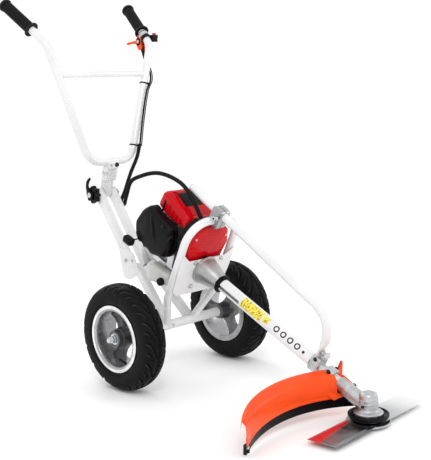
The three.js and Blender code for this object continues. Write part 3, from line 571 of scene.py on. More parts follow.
def smooth_line(points, steps):
    """A centripetal Catmull-Rom line through the points, resampled to equal steps."""
    knots = [Vector(p) for p in points]
    knots = [knots[0] * 2 - knots[1], *knots, knots[-1] * 2 - knots[-2]]
    fine = []
    for a, b, c, d in zip(knots, knots[1:], knots[2:], knots[3:]):
        t0 = 0.0
        t1 = t0 + math.sqrt((b - a).length)
        t2 = t1 + math.sqrt((c - b).length)
        t3 = t2 + math.sqrt((d - c).length)
        for k in range(12):
            t = t1 + (t2 - t1) * k / 12
            ab = a.lerp(b, (t - t0) / (t1 - t0))
            bc = b.lerp(c, (t - t1) / (t2 - t1))
            cd = c.lerp(d, (t - t2) / (t3 - t2))
            near = ab.lerp(bc, (t - t0) / (t2 - t0))
            far = bc.lerp(cd, (t - t1) / (t3 - t1))
            fine.append(near.lerp(far, (t - t1) / (t2 - t1)))
    fine.append(knots[-2])
    return even_line(fine, steps)


def even_line(points, steps):
    """The same line with its points the same distance apart."""
    gone = [0.0]
    for a, b in zip(points, points[1:]):
        gone.append(gone[-1] + (b - a).length)
    out = []
    i = 0
    for k in range(steps + 1):
        want = gone[-1] * k / steps
        while i < len(points) - 2 and gone[i + 1] < want:
            i += 1
        share = (want - gone[i]) / max(1e-9, gone[i + 1] - gone[i])
        out.append(points[i].lerp(points[i + 1], min(1.0, share)))
    return out


def rounded(outline, radius, steps=4):
    """A flat closed outline with each corner replaced by an arc of about that radius."""
    points = [Vector(p) for p in outline]
    out = []
    for i, corner in enumerate(points):
        back, ahead = points[i - 1] - corner, points[(i + 1) % len(points)] - corner
        reach = min(radius, back.length * 0.45, ahead.length * 0.45)
        a, b = corner + back.normalized() * reach, corner + ahead.normalized() * reach
        for k in range(steps + 1):
            t = k / steps
            out.append(tuple(a.lerp(corner, t).lerp(corner.lerp(b, t), t)))
    return out


def piece(name, shape, stands_for=(), body=None, slot=None, paints=(), soft=0.0, angle=35, rides=True):
    """Makes the shape a Blender object that rides on the body of the nodes that it stands for."""
    nodes = [stands_for] if isinstance(stands_for, str) else list(stands_for)
    mesh = bpy.data.meshes.new(name)
    mesh.from_pydata([tuple(p) for p in shape.points], [], shape.faces)
    mesh.polygons.foreach_set("material_index", shape.paints)
    mesh.update()
    made = bmesh.new()
    made.from_mesh(mesh)
    bmesh.ops.remove_doubles(made, verts=made.verts, dist=MERGE_M)
    bmesh.ops.recalc_face_normals(made, faces=made.faces)
    for face in made.faces:
        face.smooth = True
    made.to_mesh(mesh)
    made.free()
    thing = bpy.data.objects.new(name, mesh)
    bpy.context.scene.collection.objects.link(thing)
    slot = slot or SLOT_OF[nodes[0]]
    for material in paints or [MATERIALS[slot]]:
        mesh.materials.append(material)
    finish_edges(thing, soft, angle)
    if nodes:
        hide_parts(*nodes)
    if rides:
        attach(thing, body or BODY_OF[nodes[0]])
    return thing


def finish_edges(thing, soft, angle=35):
    """Rounds the sharp edges by soft millimetres and keeps flat faces looking flat."""
    if soft:
        edge = thing.modifiers.new("edges", "BEVEL")
        edge.width = soft * MM
        edge.segments = 3
        edge.limit_method = "ANGLE"
        edge.angle_limit = math.radians(angle)
        edge.harden_normals = True
    else:
        split = thing.modifiers.new("sharp", "EDGE_SPLIT")
        split.split_angle = math.radians(angle)


def keep(node, soft=0.6, material=None):
    """Shows a CAD node as it is, with rounded edges and its material."""
    thing = frame["nodes"][node]
    thing.data.materials.clear()
    thing.data.materials.append(material or MATERIALS[SLOT_OF[node]])
    for face in thing.data.polygons:
        face.use_smooth = True
    weld = thing.modifiers.new("weld", "WELD")
    weld.merge_threshold = CAD_MERGE_M
    finish_edges(thing, soft)


# ---------------------------------------------------------------- wheels

TYRE_HALF = 37.5
TREAD_STEPS = 480
TREAD_PITCHES = 15
GROOVE_MM = 5.0
RIM_SIDES = 120
SHOULDER = (132, 36)  # radius where the tread starts, and the tread's half width


def tyre_depth(turn, across):
    """How deep the tread is cut, from 0 to 1, at a share of a turn and a share of the half width."""
    side = 1 if across > 0 else -1
    t = abs(across)
    sweep = TREAD_PITCHES * turn + side * 0.25 + 1.2 * (1 - t) ** 1.8
    long_cut = abs(sweep - round(sweep))
    short_cut = abs(sweep + 0.5 - round(sweep + 0.5))
    depth = 0.0
    if t > 0.12:
        depth = max(depth, smooth_step(0.085, 0.045, long_cut) * smooth_step(0.12, 0.2, t))
    if 0.45 < t < 0.9:
        depth = max(depth, 0.8 * smooth_step(0.06, 0.03, short_cut) * smooth_step(0.45, 0.52, t))
    depth = max(depth, 0.6 * smooth_step(0.06, 0.03, abs(t - 0.08)))
    return depth * smooth_step(1.04, 0.9, t)


def smooth_step(start, end, value):
    t = min(1.0, max(0.0, (value - start) / (end - start)))
    return t * t * (3 - 2 * t)


def tyre(side, label):
    """A scooter-style tyre: curved grooves swept back over a round shoulder, and stepped side walls."""
    half = [
        (85.6, 33), (87.5, 34.6), (93, 34.9), (97, 34.2), (98.5, 35.6), (103, 36.2), (104.2, 37.2),
        (110, 37.5), (118, TYRE_HALF), (124, 37.2), (130, 36.6), (135, 35.6), (139, 34), (142, 32),
        (144.5, 29.4), (146.6, 26.4), (148.4, 23), (149.8, 19.2), (150.8, 15.6), (151.6, 12), (152.1, 8.4),
        (152.4, 4.8), (WHEEL_R, 2.4), (WHEEL_R, 0)
    ]
    profile = half + [(r, -a) for r, a in reversed(half[:-1])]
    shoulder_r, shoulder_a = SHOULDER
    rings = []
    for r, a in profile:
        ring = []
        for k in range(TREAD_STEPS):
            turn = k / TREAD_STEPS
            cut = 0.0
            if r > shoulder_r:
                cut = GROOVE_MM * tyre_depth(turn * side, a / shoulder_a)
            angle = 2 * math.pi * turn
            ring.append((a, (r - cut) * math.cos(angle), (r - cut) * math.sin(angle)))
        rings.append(ring)
    inner = [(86, -33), (120, -32), (143, -12), (143, 12), (120, 32), (86, 33)]
    for r, a in inner:
        angles = round_angles(TREAD_STEPS)
        rings.append([(a, r * math.cos(angle), r * math.sin(angle)) for angle in angles])
    shape = Shape(wheel_frame(side))
    shape.skin(rings, loop=True)
    piece(f"tyre_skin_{label}", shape, f"tyre_{label}", angle=50)


def wheel_frame(side):
    """Millimetres from the wheel's middle, with X pointing away from the machine."""
    return Matrix.Translation((side * WHEEL_X * MM, AXLE.y, AXLE.z)) @ Matrix.Diagonal((side * MM, MM, MM, 1))


def rim(side, label):
    """A two-lipped rim with a deep dish and three broad cast spokes."""
    shape = Shape(wheel_frame(side))
    barrel = [
        (79, -38), (93, -38), (95.5, -36.6), (95, -35.2), (88, -34.6), (85.2, -33), (85.2, 33), (88, 34.6),
        (95, 35.2), (95.5, 36.6), (93, 38), (84, 38), (81, 36.5), (79, 33), (77, 10), (77, -10), (79, -33),
        (79, -38)
    ]
    shape.lathe(barrel[:-1], along=X_AXIS, sides=RIM_SIDES, paint=3)
    shape.lathe(
        [(86.5, 37.4), (88, 38.8), (93.6, 38.8), (95.8, 37.4), (95.8, 35.8), (91, 35), (86.5, 35.6)],
        along=X_AXIS, sides=RIM_SIDES, paint=1
    )
    for inward in (1, -1):
        shape.lathe(
            [(12, 20 * inward), (27, 20 * inward), (29, 8 * inward), (29, 0), (12, 0)], along=X_AXIS,
            sides=64
        )
    shape.lathe(
        [(18, 0), (26, 0), (25, 24), (23.5, 35), (22.5, 36), (18, 36)], along=X_AXIS, sides=64, paint=0
    )
    shape.lathe([(9, -52), (20, -52), (21.5, -50.5), (27, -19), (9, -19)], along=X_AXIS, sides=64)
    for k in range(3):
        spin = Matrix.Rotation(k * 2 * math.pi / 3 + (math.pi if side < 0 else 0), 4, "X")
        spoke(shape, spin)
    stem_turn = Matrix.Rotation(math.radians(245 if side < 0 else 65), 4, "X")
    foot, tip = stem_turn @ Vector((20, 76, 0)), stem_turn @ Vector((34, 62, 0))
    shape.rod(foot, tip, 3.2, 20, paint=2)
    shape.rod(tip, tip + (tip - foot).normalized() * 7, 3.9, 20, paint=2)
    paints = [MATERIALS["cast_dark"], RIM_LIP, BLACK, RIM_SILVER]
    piece(f"rim_cast_{label}", shape, f"rim_{label}", paints=paints, soft=1.2)
    bearing(side, label)


def spoke(shape, spin):
    """One spoke, waisted in plan, dished towards the hub and ribbed along both edges."""
    stations = [
        (20, 19, -24, 0), (30, 15, -24, -3), (44, 12.5, -23.5, -5), (58, 14.5, -23, -5.5),
        (70, 19, -23, -5), (79.5, 27, -24, -3)
    ]
    rings = []
    for radius, half, low, high in stations:
        hollow = high - 3.5
        outline = [
            (-half, low), (-half, high), (-half + 4, high), (-half + 6, hollow), (half - 6, hollow),
            (half - 4, high), (half, high), (half, low)
        ]
        rings.append([spin @ Vector((x, radius, z)) for z, x in outline])
    shape.skin(rings)


def bearing(side, label):
    shape = Shape(wheel_frame(side))
    rings = [
        (7.9, 33), (7.9, 3.5), (17.3, 3.5), (17.3, 34), (15.6, 35), (14.6, 34.2), (10.6, 34.2), (9.6, 35),
        (8.6, 35)
    ]
    shape.lathe(rings, along=X_AXIS, sides=48)
    piece(f"bearing_rings_{label}", shape, f"wheel_bearing_{label}", soft=0.3)
    shape = Shape(wheel_frame(side))
    shape.lathe([(7.6, 36.4), (12.4, 36.4), (12.4, 38), (7.6, 38)], along=X_AXIS, sides=48)
    shape.lathe([(7.6, 38), (11, 38), (11, 45), (9.8, 46.4), (7.6, 46.4)], along=X_AXIS, sides=6)
    piece(f"axle_nut_{label}", shape, f"hub_nut_{label}", soft=0.5)


def axle():
    end = WHEEL_X - 53
    shape = Shape(Matrix.Translation((0, AXLE.y, AXLE.z)) @ GROUND)
    shape.lathe([(11.5, -end), (AXLE_TUBE_R, -end), (AXLE_TUBE_R, end), (11.5, end)], along=X_AXIS, sides=48)
    for x in (-50, 50):
        shape.lathe(weld_bead(AXLE_TUBE_R, x), along=X_AXIS, sides=48)
    shape.bolt((-34, -AXLE_TUBE_R, 0), (0, -1, 0), 4.5, 3.2, paint=1)
    piece("axle_cross_tube", shape, "axle_tube", paints=[WHITE, STEEL], soft=0.6)
    shape = Shape(Matrix.Translation((0, AXLE.y, AXLE.z)) @ GROUND)
    reach = WHEEL_X + 56
    rib = []
    for k in range(9):
        at = reach - 9 + k
        rib += [(7.4, at), (6.7, at + 0.5)]
    thread = [(0, -reach), (6, -reach)] + [(r, -h) for r, h in reversed(rib)] + rib + [(6, reach), (0, reach)]
    shape.lathe(thread, along=X_AXIS, sides=40)
    piece("axle_rod", shape, "axle_shaft", soft=0.3)


def weld_bead(radius, at, width=5.0):
    """A closed profile for a ring of weld round a tube."""
    sunk, raised, steps = 0.5, 2.2, 4
    angles = [(k / steps) * math.pi for k in range(steps + 1)]
    return [(radius - sunk + raised * math.sin(a), at - width / 2 * math.cos(a)) for a in angles]


# ---------------------------------------------------------------- tube frame

HOOP_R = 11.5
HOOP_HALF = 98
HOOP_TOP = 155
HOOP_SETBACK = 16
CLAMP_TILT = 29.5  # degrees, the slope of the support tube where the hoop holds it
AXLE_TUBE_R = 14
HANDLE_R = 12.5
CROSSBAR_R = 9.5
CROSSBAR_Z = 872
BAR_BOTTOM = (84, 310, 606)
BAR_BEND = (201, 350, 962)
GRIP_OUTER = (239, 503, 1076)
GRIP_LENGTH = 122
PIVOT = CHASSIS.inverted() @ Vector(JOINTS["handle_fold"]["pos_m"])
SUPPORT_R = 12
SUPPORT_TOP = (0, -58, 562)
SUPPORT_SHOULDER = (0, -556, 280)
SUPPORT_KNEE = (0, 75, 448)
SUPPORT_LOW = (0, 26, 448)


def mirrored(corners):
    return corners + [(-x, *rest) for x, *rest in reversed(corners)]


def hoop_path():
    foot = chassis_point(0, 0, WHEEL_R)
    side = [
        (-50, foot.y, foot.z, 0), (-95, -95, -HOOP_SETBACK, 30), (-HOOP_HALF, HOOP_TOP, -HOOP_SETBACK, 68)
    ]
    return [DRIVE_TO_CHASSIS @ p for p in bend(mirrored(side), 16)]


def front_hoop():
    shape = Shape(CHASSIS)
    shape.tube(hoop_path(), HOOP_R, 32)
    for x in (-1, 1):
        foot = Vector((x * 50, 0, WHEEL_R))
        shape.lathe(weld_bead(HOOP_R, 9), foot, Vector((x * 40, -20, 60)), 40)
    piece("front_hoop_tube", shape, "front_hoop", angle=50)


def engine_plate():
    """The white plate with its four engine bolts."""
    half = [(70, 36), (100, 62), (103, 0), (99, -62), (82, -78)]
    outline = half + [(-x, s) for x, s in reversed(half)]
    shape = Shape(DRIVE)
    plate = rounded(outline, 6)
    shape.slab(plate, -4, 0, "z")
    for x, s in ((-34, -52), (42, -52), (-46, 30), (56, 30)):
        shape.bolt((x, s, 0), (0, 0, 1), 5.6, 4.4, paint=1)
    piece("engine_plate_sheet", shape, "engine_plate", paints=[WHITE, STEEL], soft=0.8)


def rear_frame():
    for label in ("left", "right"):
        keep(f"column_tube_{label}", 0.5)
        keep(f"lower_strut_{label}", 0.5)
        keep(f"gusset_plate_{label}", 0.6)
    shape = Shape(CHASSIS)
    for side in (-1, 1):
        shape.bolt((side * 41.5, 195, 315), (side, 0, 0), 4.6, 4)
        shape.bolt((side * 41.5, 165, 318), (side, 0, 0), 3.2, 2)
    piece("gusset_bolts", shape, body="chassis", slot="zinc_steel", soft=0.3)


def arm_corners():
    arm = [(*GRIP_OUTER, 0), (*BAR_BEND, 62), (*BAR_BOTTOM, 62)]
    return mirrored(arm)


def crossbar_end():
    low, high = Vector(BAR_BOTTOM), Vector(BAR_BEND)
    return low.lerp(high, (CROSSBAR_Z - low.z) / (high.z - low.z))


def handlebar():
    shape = Shape(CHASSIS)
    shape.tube(bend(arm_corners(), 16), HANDLE_R, 36)
    end = crossbar_end()
    left, right = Vector((end.x - 9, end.y, end.z)), Vector((9 - end.x, end.y, end.z))
    shape.rod(left, right, CROSSBAR_R, 32)
    for x in (-1, 1):
        foot = Vector((x * (end.x - 10.5), end.y, end.z))
        shape.lathe(weld_bead(CROSSBAR_R, 0, 6), foot, (-x, 0, 0), 32)
    piece("handlebar_tube", shape, "handlebar", angle=50)


STEM_FRONT = (298, 600, 0.258)  # y and z of the front face's top edge, and how far it slopes back per mm down


def stem_front(z):
    """The Y of the stem's front face at some height."""
    y, top, slope = STEM_FRONT
    return y + (top - z) * slope


def handle_stem():
    """The stem from the fold hinge, with the toothed clamp block that holds the bar."""
    keep("handle_stem", 0.8)
    y, z = BAR_BOTTOM[1:]
    shape = Shape(CHASSIS)
    saddle = [
        (y - 17, z - 22), (y - 17, z - 3), (y - 12, z + 2), (y + 12, z + 2), (y + 17, z - 3),
        (y + 17, z - 22)
    ]
    shape.slab(rounded(saddle, 4), -17, 17)
    cheek = [
        (stem_front(590) - 1, 590), (stem_front(590) + 24, 590), (stem_front(546) + 22, 546),
        (stem_front(546) - 1, 546)
    ]
    shape.slab(cheek, -20, 20)
    for k in range(8):
        low = 547 + 5.4 * k
        shape.block((-17, stem_front(low) - 2.4, low), (17, stem_front(low) + 2, low + 2.6))
    shape.bolt((10, y - 17, z - 10), (0, -1, 0), 5, 5, paint=1, kind="socket")
    shape.bolt((-10, y - 17, z - 10), (0, -1, 0), 4, 3, paint=2)
    shape.rod((-13, y + 4, z - 36), (-22, y + 4, z - 36), 3.6, 20, paint=2)
    wing = rounded(
        [(y - 7, z - 40), (y + 15, z - 40), (y + 17, z - 31), (y + 8, z - 34), (y, z - 34),
        (y - 9, z - 31)], 2
    )
    shape.slab(wing, -24, -20, paint=2)
    piece(
        "bar_clamp_block", shape, body="handle", slot="white_paint", paints=[WHITE, BOLT_BLACK, STEEL],
        soft=0.6
    )


def fold_pivot():
    face = 39.5
    y, z = PIVOT.yz
    shape = Shape(CHASSIS)
    shape.rod((-face - 25.8, y, z), (face + 7, y, z), 5.9, 32)
    shape.lathe([(0, 0), (8, 0), (8, 2), (5, 3.4), (0, 3.4)], (-face - 26, y, z), -X_AXIS, 24)
    shape.lathe([(0, 0), (10.5, 0), (10.5, 6), (9.5, 7), (0, 7)], (face + 0.2, y, z), X_AXIS, 6)
    shape.lathe([(6, -1.2), (13, -1.2), (13, 0), (6, 0)], (face + 0.2, y, z), X_AXIS, 32)
    piece("pivot_bolt_hex", shape, "pivot_bolt", soft=0.4)
    shape = Shape(CHASSIS)
    sides = 128
    rings = []
    for across, grow in ((-0.6, -4), (-1.2, -1.6), (-3.6, 0), (-15, 0), (-18, -1.8), (-19, -5), (-19, -9)):
        ring = []
        for k in range(sides):
            a = 2 * math.pi * k / sides
            r = 25 + 3 * math.cos(8 * a) + grow
            ring.append((across - face, y + r * math.cos(a), z + r * math.sin(a)))
        rings.append(ring)
    shape.skin(rings)
    piece("star_knob_grip", shape, "star_knob", angle=55)
    hook = [
        (y - 11, z - 14), (y + 6, z - 20), (y + 15, z), (y + 20, z + 24), (y + 17, z + 42), (y + 2, z + 55),
        (y - 3, z + 50), (y + 8, z + 37), (y + 10, z + 25), (y + 2, z + 12), (y - 12, z + 8)
    ]
    shape = Shape(CHASSIS)
    shape.crowned(
        rounded(hook, 5), [(-face - 26, 1.6), (-face - 24.5, 0), (-face - 20.9, 0), (-face - 19.5, 1.4)]
    )
    piece("fold_lever_cast", shape, "clamp_lever", soft=0.4)


def support_tube():
    """The stay over the drive tube. Its foot is pressed flat and bolted to the clamp."""
    low = DRIVE_TO_CHASSIS @ Vector(SUPPORT_LOW)
    knee = DRIVE_TO_CHASSIS @ Vector(SUPPORT_KNEE)
    path = bend([(*SUPPORT_TOP, 0), (*SUPPORT_SHOULDER, 75), (*knee, 50), (*low, 0)], 16)
    path = even_line(path, 90)
    along = [0.0]
    for a, b in zip(path, path[1:]):
        along.append(along[-1] + (b - a).length)
    shape = Shape(CHASSIS)
    rings = []
    sides = 36
    for gone, (point, x, y) in zip(along, frames_along(path)):
        flat = smooth_step(0, 1, (gone - along[-1] + 44) / 26)
        wide, thin = SUPPORT_R + 5 * flat, SUPPORT_R - 8 * flat
        tangent = x.cross(y)
        level = (X_AXIS - tangent * X_AXIS.dot(tangent)).normalized()
        deep = tangent.cross(level)
        angles = round_angles(sides)
        rings.append([point + level * (math.cos(a) * wide) + deep * (math.sin(a) * thin) for a in angles])
    shape.skin(rings)
    start, ahead = path[0], (path[0] - path[1]).normalized()
    shape.lathe([(0, 0), (11.4, 0), (11.4, 1.2), (9.5, 2.4), (0, 2.6)], start, ahead, 32, paint=1)
    piece("stay_tube", shape, "support_tube", paints=[WHITE, BLACK], angle=50)
    hardware = Shape(DRIVE)
    hardware.bolt((0, 38, 453), (0, 0, 1), 7, 6, kind="socket")
    hardware.rod((0, 38, 459), (0, 38, 470), 4, 24)
    hardware.lathe([(0, 0), (11, 0), (12, 2), (12, 5), (10, 7), (0, 7)], (0, 38, 466), (0, 0, 1), 5)
    piece("stay_foot_screw", hardware, body="chassis", slot="zinc_steel", soft=0.5)


def top_clamp():
    hoop = drive_point(0, HOOP_TOP, -HOOP_SETBACK)
    turn = Matrix.Translation(hoop) @ Matrix.Rotation(math.radians(CLAMP_TILT), 4, "X")
    shape = Shape(CHASSIS @ turn)
    side = rounded([(-23, -16), (15, -16), (15, 42), (-23, 42)], 7)
    shape.slab(side, -17, -1.2)
    shape.slab(side, 1.2, 17)
    shape.slab(inset_outline(side, 3), -1.6, 1.6)
    for y in (-18, 9):
        shape.bolt((17, y, 20), (1, 0, 0), 4.2, 3.6, paint=1)
    piece("stay_clamp_halves", shape, "top_clamp", paints=[RIM_SILVER, STEEL], soft=1.6)
    y, z = hoop.y - 24, hoop.z + 11
    shape = Shape(CHASSIS)
    shape.rod((-20.4, y, z), (-36, y, z), 4, 24)
    shape.rod((-27, y, z), (-36, y, z), 6.4, 24)
    for k in (-1, 1):
        wing = rounded(
            [(y + k * 4, z - 4.5), (y + k * 12, z - 5), (y + k * 13, z + 5), (y + k * 8, z + 6),
            (y + k * 4, z + 4)], 3
        )
        shape.slab(wing, -34.5, -30.5)
    piece("wing_screw_cast", shape, "clamp_wing_screw", soft=0.8)


# ---------------------------------------------------------------- grips and controls


def grips():
    for side, label in ((-1, "right"), (1, "left")):
        outer = Vector((side * GRIP_OUTER[0], *GRIP_OUTER[1:]))
        elbow = Vector((side * BAR_BEND[0], *BAR_BEND[1:]))
        along = (outer - elbow).normalized()
        inner = outer - along * GRIP_LENGTH
        profile = [(12.9, -4), (22.5, -4), (23.5, -3), (23.5, 0), (22.5, 1.4), (18.2, 4)]
        at = 7.0
        while at < GRIP_LENGTH - 12:
            profile += [(15.6, at), (15.8, at + 0.5), (17.5, at + 1.1), (17.5, at + 3.1), (15.8, at + 3.7)]
            at += 4.6
        end = GRIP_LENGTH
        profile += [
            (17.4, end - 6), (20, end - 4), (20.2, end + 2), (18.5, end + 5), (15, end + 6.2),
            (0, end + 6.2)
        ]
        profile = [(0, -4)] + profile
        shape = Shape(CHASSIS)
        shape.lathe(profile, inner, along, 48)
        piece(f"grip_ribbed_{label}", shape, f"grip_{label}", angle=40)


def on_bar(along):
    elbow, outer = Vector(BAR_BEND), Vector(GRIP_OUTER)
    return elbow + (outer - elbow).normalized() * along


def throttle():
    """The orange throttle: a clamp band, a hinge barrel with its screw, and a long pointed lever."""
    pivot = CHASSIS.inverted() @ Vector(JOINTS["throttle_pull"]["pos_m"])
    x, y, z = pivot
    shape = Shape(CHASSIS)
    line = on_bar(80) - on_bar(0)
    shape.lathe(
        [(12.9, -7), (15, -7), (15.6, -6), (15.6, 6), (15, 7), (12.9, 7)], on_bar(54.5), line, 48, paint=1
    )
    for k in (-1, 1):
        a, b = x + k * 4.8, x + k * 11
        shape.rod((min(a, b), y, z), (max(a, b), y, z), 13, 40)
        neck = rounded([(y - 9, z), (y + 9, z), (y + 2, z + 22), (y - 12, z + 18)], 3)
        shape.slab(neck, min(a, b), max(a, b))
        spout = rounded(
            [(y - 13, z + 4), (y + 11, z + 4), (y + 6, z - 16), (y - 4, z - 28), (y - 14, z - 26)], 5
        )
        shape.slab(spout, min(a, b), max(a, b))
    shape.bolt((x + 11, y, z), (1, 0, 0), 4.2, 2.4, paint=1, kind="socket")
    shape.bolt((x - 11, y, z), (-1, 0, 0), 4.2, 2.4, paint=1, kind="socket")
    piece("throttle_clamp", shape, "throttle_housing", paints=[ORANGE, STEEL], soft=0.9)
    lever = [
        (y - 9, z - 5), (y - 1, z - 10), (y + 12, z - 9), (y + 38, z - 6), (y + 64, z - 11),
        (y + 68, z - 7), (y + 64, z - 3), (y + 36, z + 2), (y + 9, z + 4), (y - 2, z + 9), (y - 9, z + 4)
    ]
    shape = Shape(CHASSIS)
    shape.crowned(rounded(lever, 5), [(x - 4, 1.5), (x - 2.8, 0), (x + 2.8, 0), (x + 4, 1.5)])
    piece("throttle_lever", shape, "throttle_trigger", soft=0.4)


def stop_switch():
    x, y, z = on_bar(34)
    line = on_bar(80) - on_bar(0)
    shape = Shape(CHASSIS)
    shape.lathe([(12.9, -6), (17, -6), (17, 6), (12.9, 6)], on_bar(34), line, 48)
    case = rounded([(x + 8, y - 25), (x + 30, y - 25), (x + 30, y - 5), (x + 8, y - 5)], 4)
    shape.slab(case, z - 10, z + 3, "z")
    well_low, well_high = Vector((x + 17.5, y - 21.5)), Vector((x + 26.5, y - 8.5))
    frame_sides = [
        ((x + 8, y - 25), (x + 30, well_low.y)), ((x + 8, well_high.y), (x + 30, y - 5)),
        ((x + 8, well_low.y), (well_low.x, well_high.y)), ((well_high.x, well_low.y), (x + 30, well_high.y))
    ]
    for low, high in frame_sides:
        shape.block((*low, z + 3), (*high, z + 12))
    piece("stop_switch_case", shape, "stop_switch", soft=0.8)
    shape = Shape(CHASSIS)
    button = rounded([(x + 18, y - 21), (x + 26, y - 21), (x + 26, y - 9), (x + 18, y - 9)], 2)
    shape.crowned(button, [(z + 6.5, 0), (z + 16.5, 0), (z + 18.3, 1)], "z")
    piece("stop_button_cap", shape, "stop_switch_button", soft=0.5)


CABLE_ROUTE = [
    (206, 377, 908), (198, 349, 880), (180, 325, 850), (155, 314, 821), (126, 304, 727), (104, 292, 648)
]
CONDUIT_ROUTE = [
    (104, 292, 654), (91, 291, 614), (72, 300, 565), (60, 316, 505), (55, 328, 472), (55, 316, 462),
    (53, 300, 492), (40, 262, 542), (24, 195, 568), (4, 95, 588), (-10, 6, 580), (-17, -45, 561),
    (-23, -88, 522)
]


def cables():
    """The thin throttle cable on the arm and the corrugated conduit down to the carburettor."""
    pivot = CHASSIS.inverted() @ Vector(JOINTS["throttle_pull"]["pos_m"])
    route = [(pivot.x, pivot.y - 8, pivot.z - 16), *CABLE_ROUTE]
    line = smooth_line(route, 60)
    shape = Shape(CHASSIS)
    shape.tube(line, 2.9, 16)
    offset = Vector((5, -2.5, 0))
    shape.tube([p + offset * smooth_step(0, 0.2, i / len(line)) for i, p in enumerate(line)], 1.7, 12)
    boot = [(0, 0), (5.4, 0), (6.4, 10), (5.6, 28), (3.6, 58), (0, 58)]
    shape.lathe(boot, line[0], line[4] - line[0], 24)
    piece("throttle_cable_sheath", shape, "throttle_cable", paints=[RUBBER])
    line = smooth_line([*CONDUIT_ROUTE, tuple(drive_point(-25, 146, -50))], 900)
    shape = Shape(CHASSIS)
    shape.tube(line, lambda gone: 5.95 + 0.4 * math.cos(2 * math.pi * gone / 3.1), 14)
    thing = piece("conduit_corrugated", shape, "cable_conduit", paints=[RUBBER], rides=False)
    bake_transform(thing)
    shape = Shape(CHASSIS)
    for share in (0.12, 0.66):
        low, high = Vector(BAR_BOTTOM), Vector(BAR_BEND)
        at, along = low.lerp(high, share), high - low
        shape.lathe([(12.6, -2.2), (13.9, -2.2), (13.9, 2.2), (12.6, 2.2)], at, along, 40)
        head = at + Vector((9, -13, 0))
        shape.block(head - Vector((3.5, 3, 3)), head + Vector((3.5, 3, 3)))
    piece("cable_ties", shape, body="handle", slot="black_plastic", soft=0.4)


# ---------------------------------------------------------------- drive line

TUBE_R = 13
SLEEVE_R = 18.5
SLEEVE_START = 84.5
SLEEVE_END = 436
SLOT_END = 166


def arc_band(inner, outer, start, end, steps=24):
    """A closed outline between two radii, from one angle to another in degrees."""
    angles = [math.radians(start + (end - start) * k / steps) for k in range(steps + 1)]
    return [(outer * math.cos(a), outer * math.sin(a)) for a in angles] + [
        (inner * math.cos(a), inner * math.sin(a)) for a in reversed(angles)
    ]


def wrapped_ring(shape, distance, angle, outer, inner, paint, steps=36):
    """A thin ring printed on the sleeve, following its round surface."""
    rings = []
    for k in range(steps):
        turn = 2 * math.pi * k / steps
        ring = []
        for reach, height in ((outer, -0.1), (outer, 0.25), (inner, 0.25), (inner, -0.1)):
            around = math.radians(angle) + reach * math.sin(turn) / SLEEVE_R
            r = SLEEVE_R + height
            ring.append((r * math.cos(around), r * math.sin(around), distance + reach * math.cos(turn)))
        rings.append(ring)
    shape.skin(rings, paint, loop=True)


def clutch_bell():
    """The satin bell between the engine plate and the drive tube, and the black rubber ring on its end."""
    bell = [
        (13.4, 72), (23.4, 72), (24.5, 71), (25.4, 67), (29, 56), (36, 30), (39.2, 13), (40, 5), (44, 4.2),
        (44, 0.4), (36.5, 0.4), (36.5, 27), (22, 46), (13.4, 48)
    ]
    shape = Shape(DRIVE)
    shape.lathe(bell, sides=96)
    piece("clutch_bell", shape, "clutch_housing", paints=[SATIN_BELL], soft=0.8)
    shape = Shape(DRIVE)
    profile = [
        (13.4, 72.4), (24.8, 72.4), (26.6, 74), (27, 76), (26.6, 80), (25, 81.6), (22, 84.1), (13.4, 84.1)
    ]
    shape.lathe(profile, sides=72)
    piece("rubber_collar_ring", shape, "rubber_collar", soft=0.5)


def sleeve():
    """The white sleeve, with its slot, a yellow band and a row of plain printed rings."""
    shape = Shape(DRIVE)
    half_slot = 16
    shape.slab(arc_band(16.5, SLEEVE_R, -180 + half_slot, 180 - half_slot, 72), SLEEVE_START, SLOT_END, "z")
    shape.lathe(
        [(16.5, SLOT_END), (SLEEVE_R, SLOT_END), (SLEEVE_R, SLEEVE_END), (16.5, SLEEVE_END)], sides=72
    )
    shape.slab(arc_band(SLEEVE_R - 0.2, SLEEVE_R + 0.3, 95, 190, 36), 173, 252, "z", paint=1)
    shape.slab(arc_band(SLEEVE_R - 0.2, SLEEVE_R + 0.3, 110, 168, 20), 257, 277, "z", paint=1)
    for k in range(4):
        wrapped_ring(shape, 308 + 26 * k, 140, 9, 5.4, 2)
    wrapped_ring(shape, 410, 145, 4, 0.4, 2, 20)
    piece("sleeve_printed", shape, "sleeve_tube", paints=[WHITE, YELLOW, BLACK], soft=0.3)


def drive_tube():
    shape = Shape(DRIVE)
    end = SHAFT_REACH - 45
    shape.lathe([(11, 50), (TUBE_R, 50), (TUBE_R, end), (11, end)], sides=64)
    piece("drive_tube_polished", shape, "drive_tube", paints=[BRIGHT_ALLOY], angle=50)
    for node in ("clutch_drum", "drive_shaft", "crankshaft", "output_spindle"):
        keep(node, 0.0)


def clamp_block(shape, low, high, outer, top):
    """A split clamp round the drive tube between two distances along it."""
    side = rounded([(-outer, -outer), (outer, -outer), (outer, top), (-outer, top)], 6)
    shape.slab(side, low, high, "z")
    shape.slab(inset_outline(side, -0.7), low + 3, low + 5, "z")
    shape.slab(inset_outline(side, -0.7), high - 5, high - 3, "z")


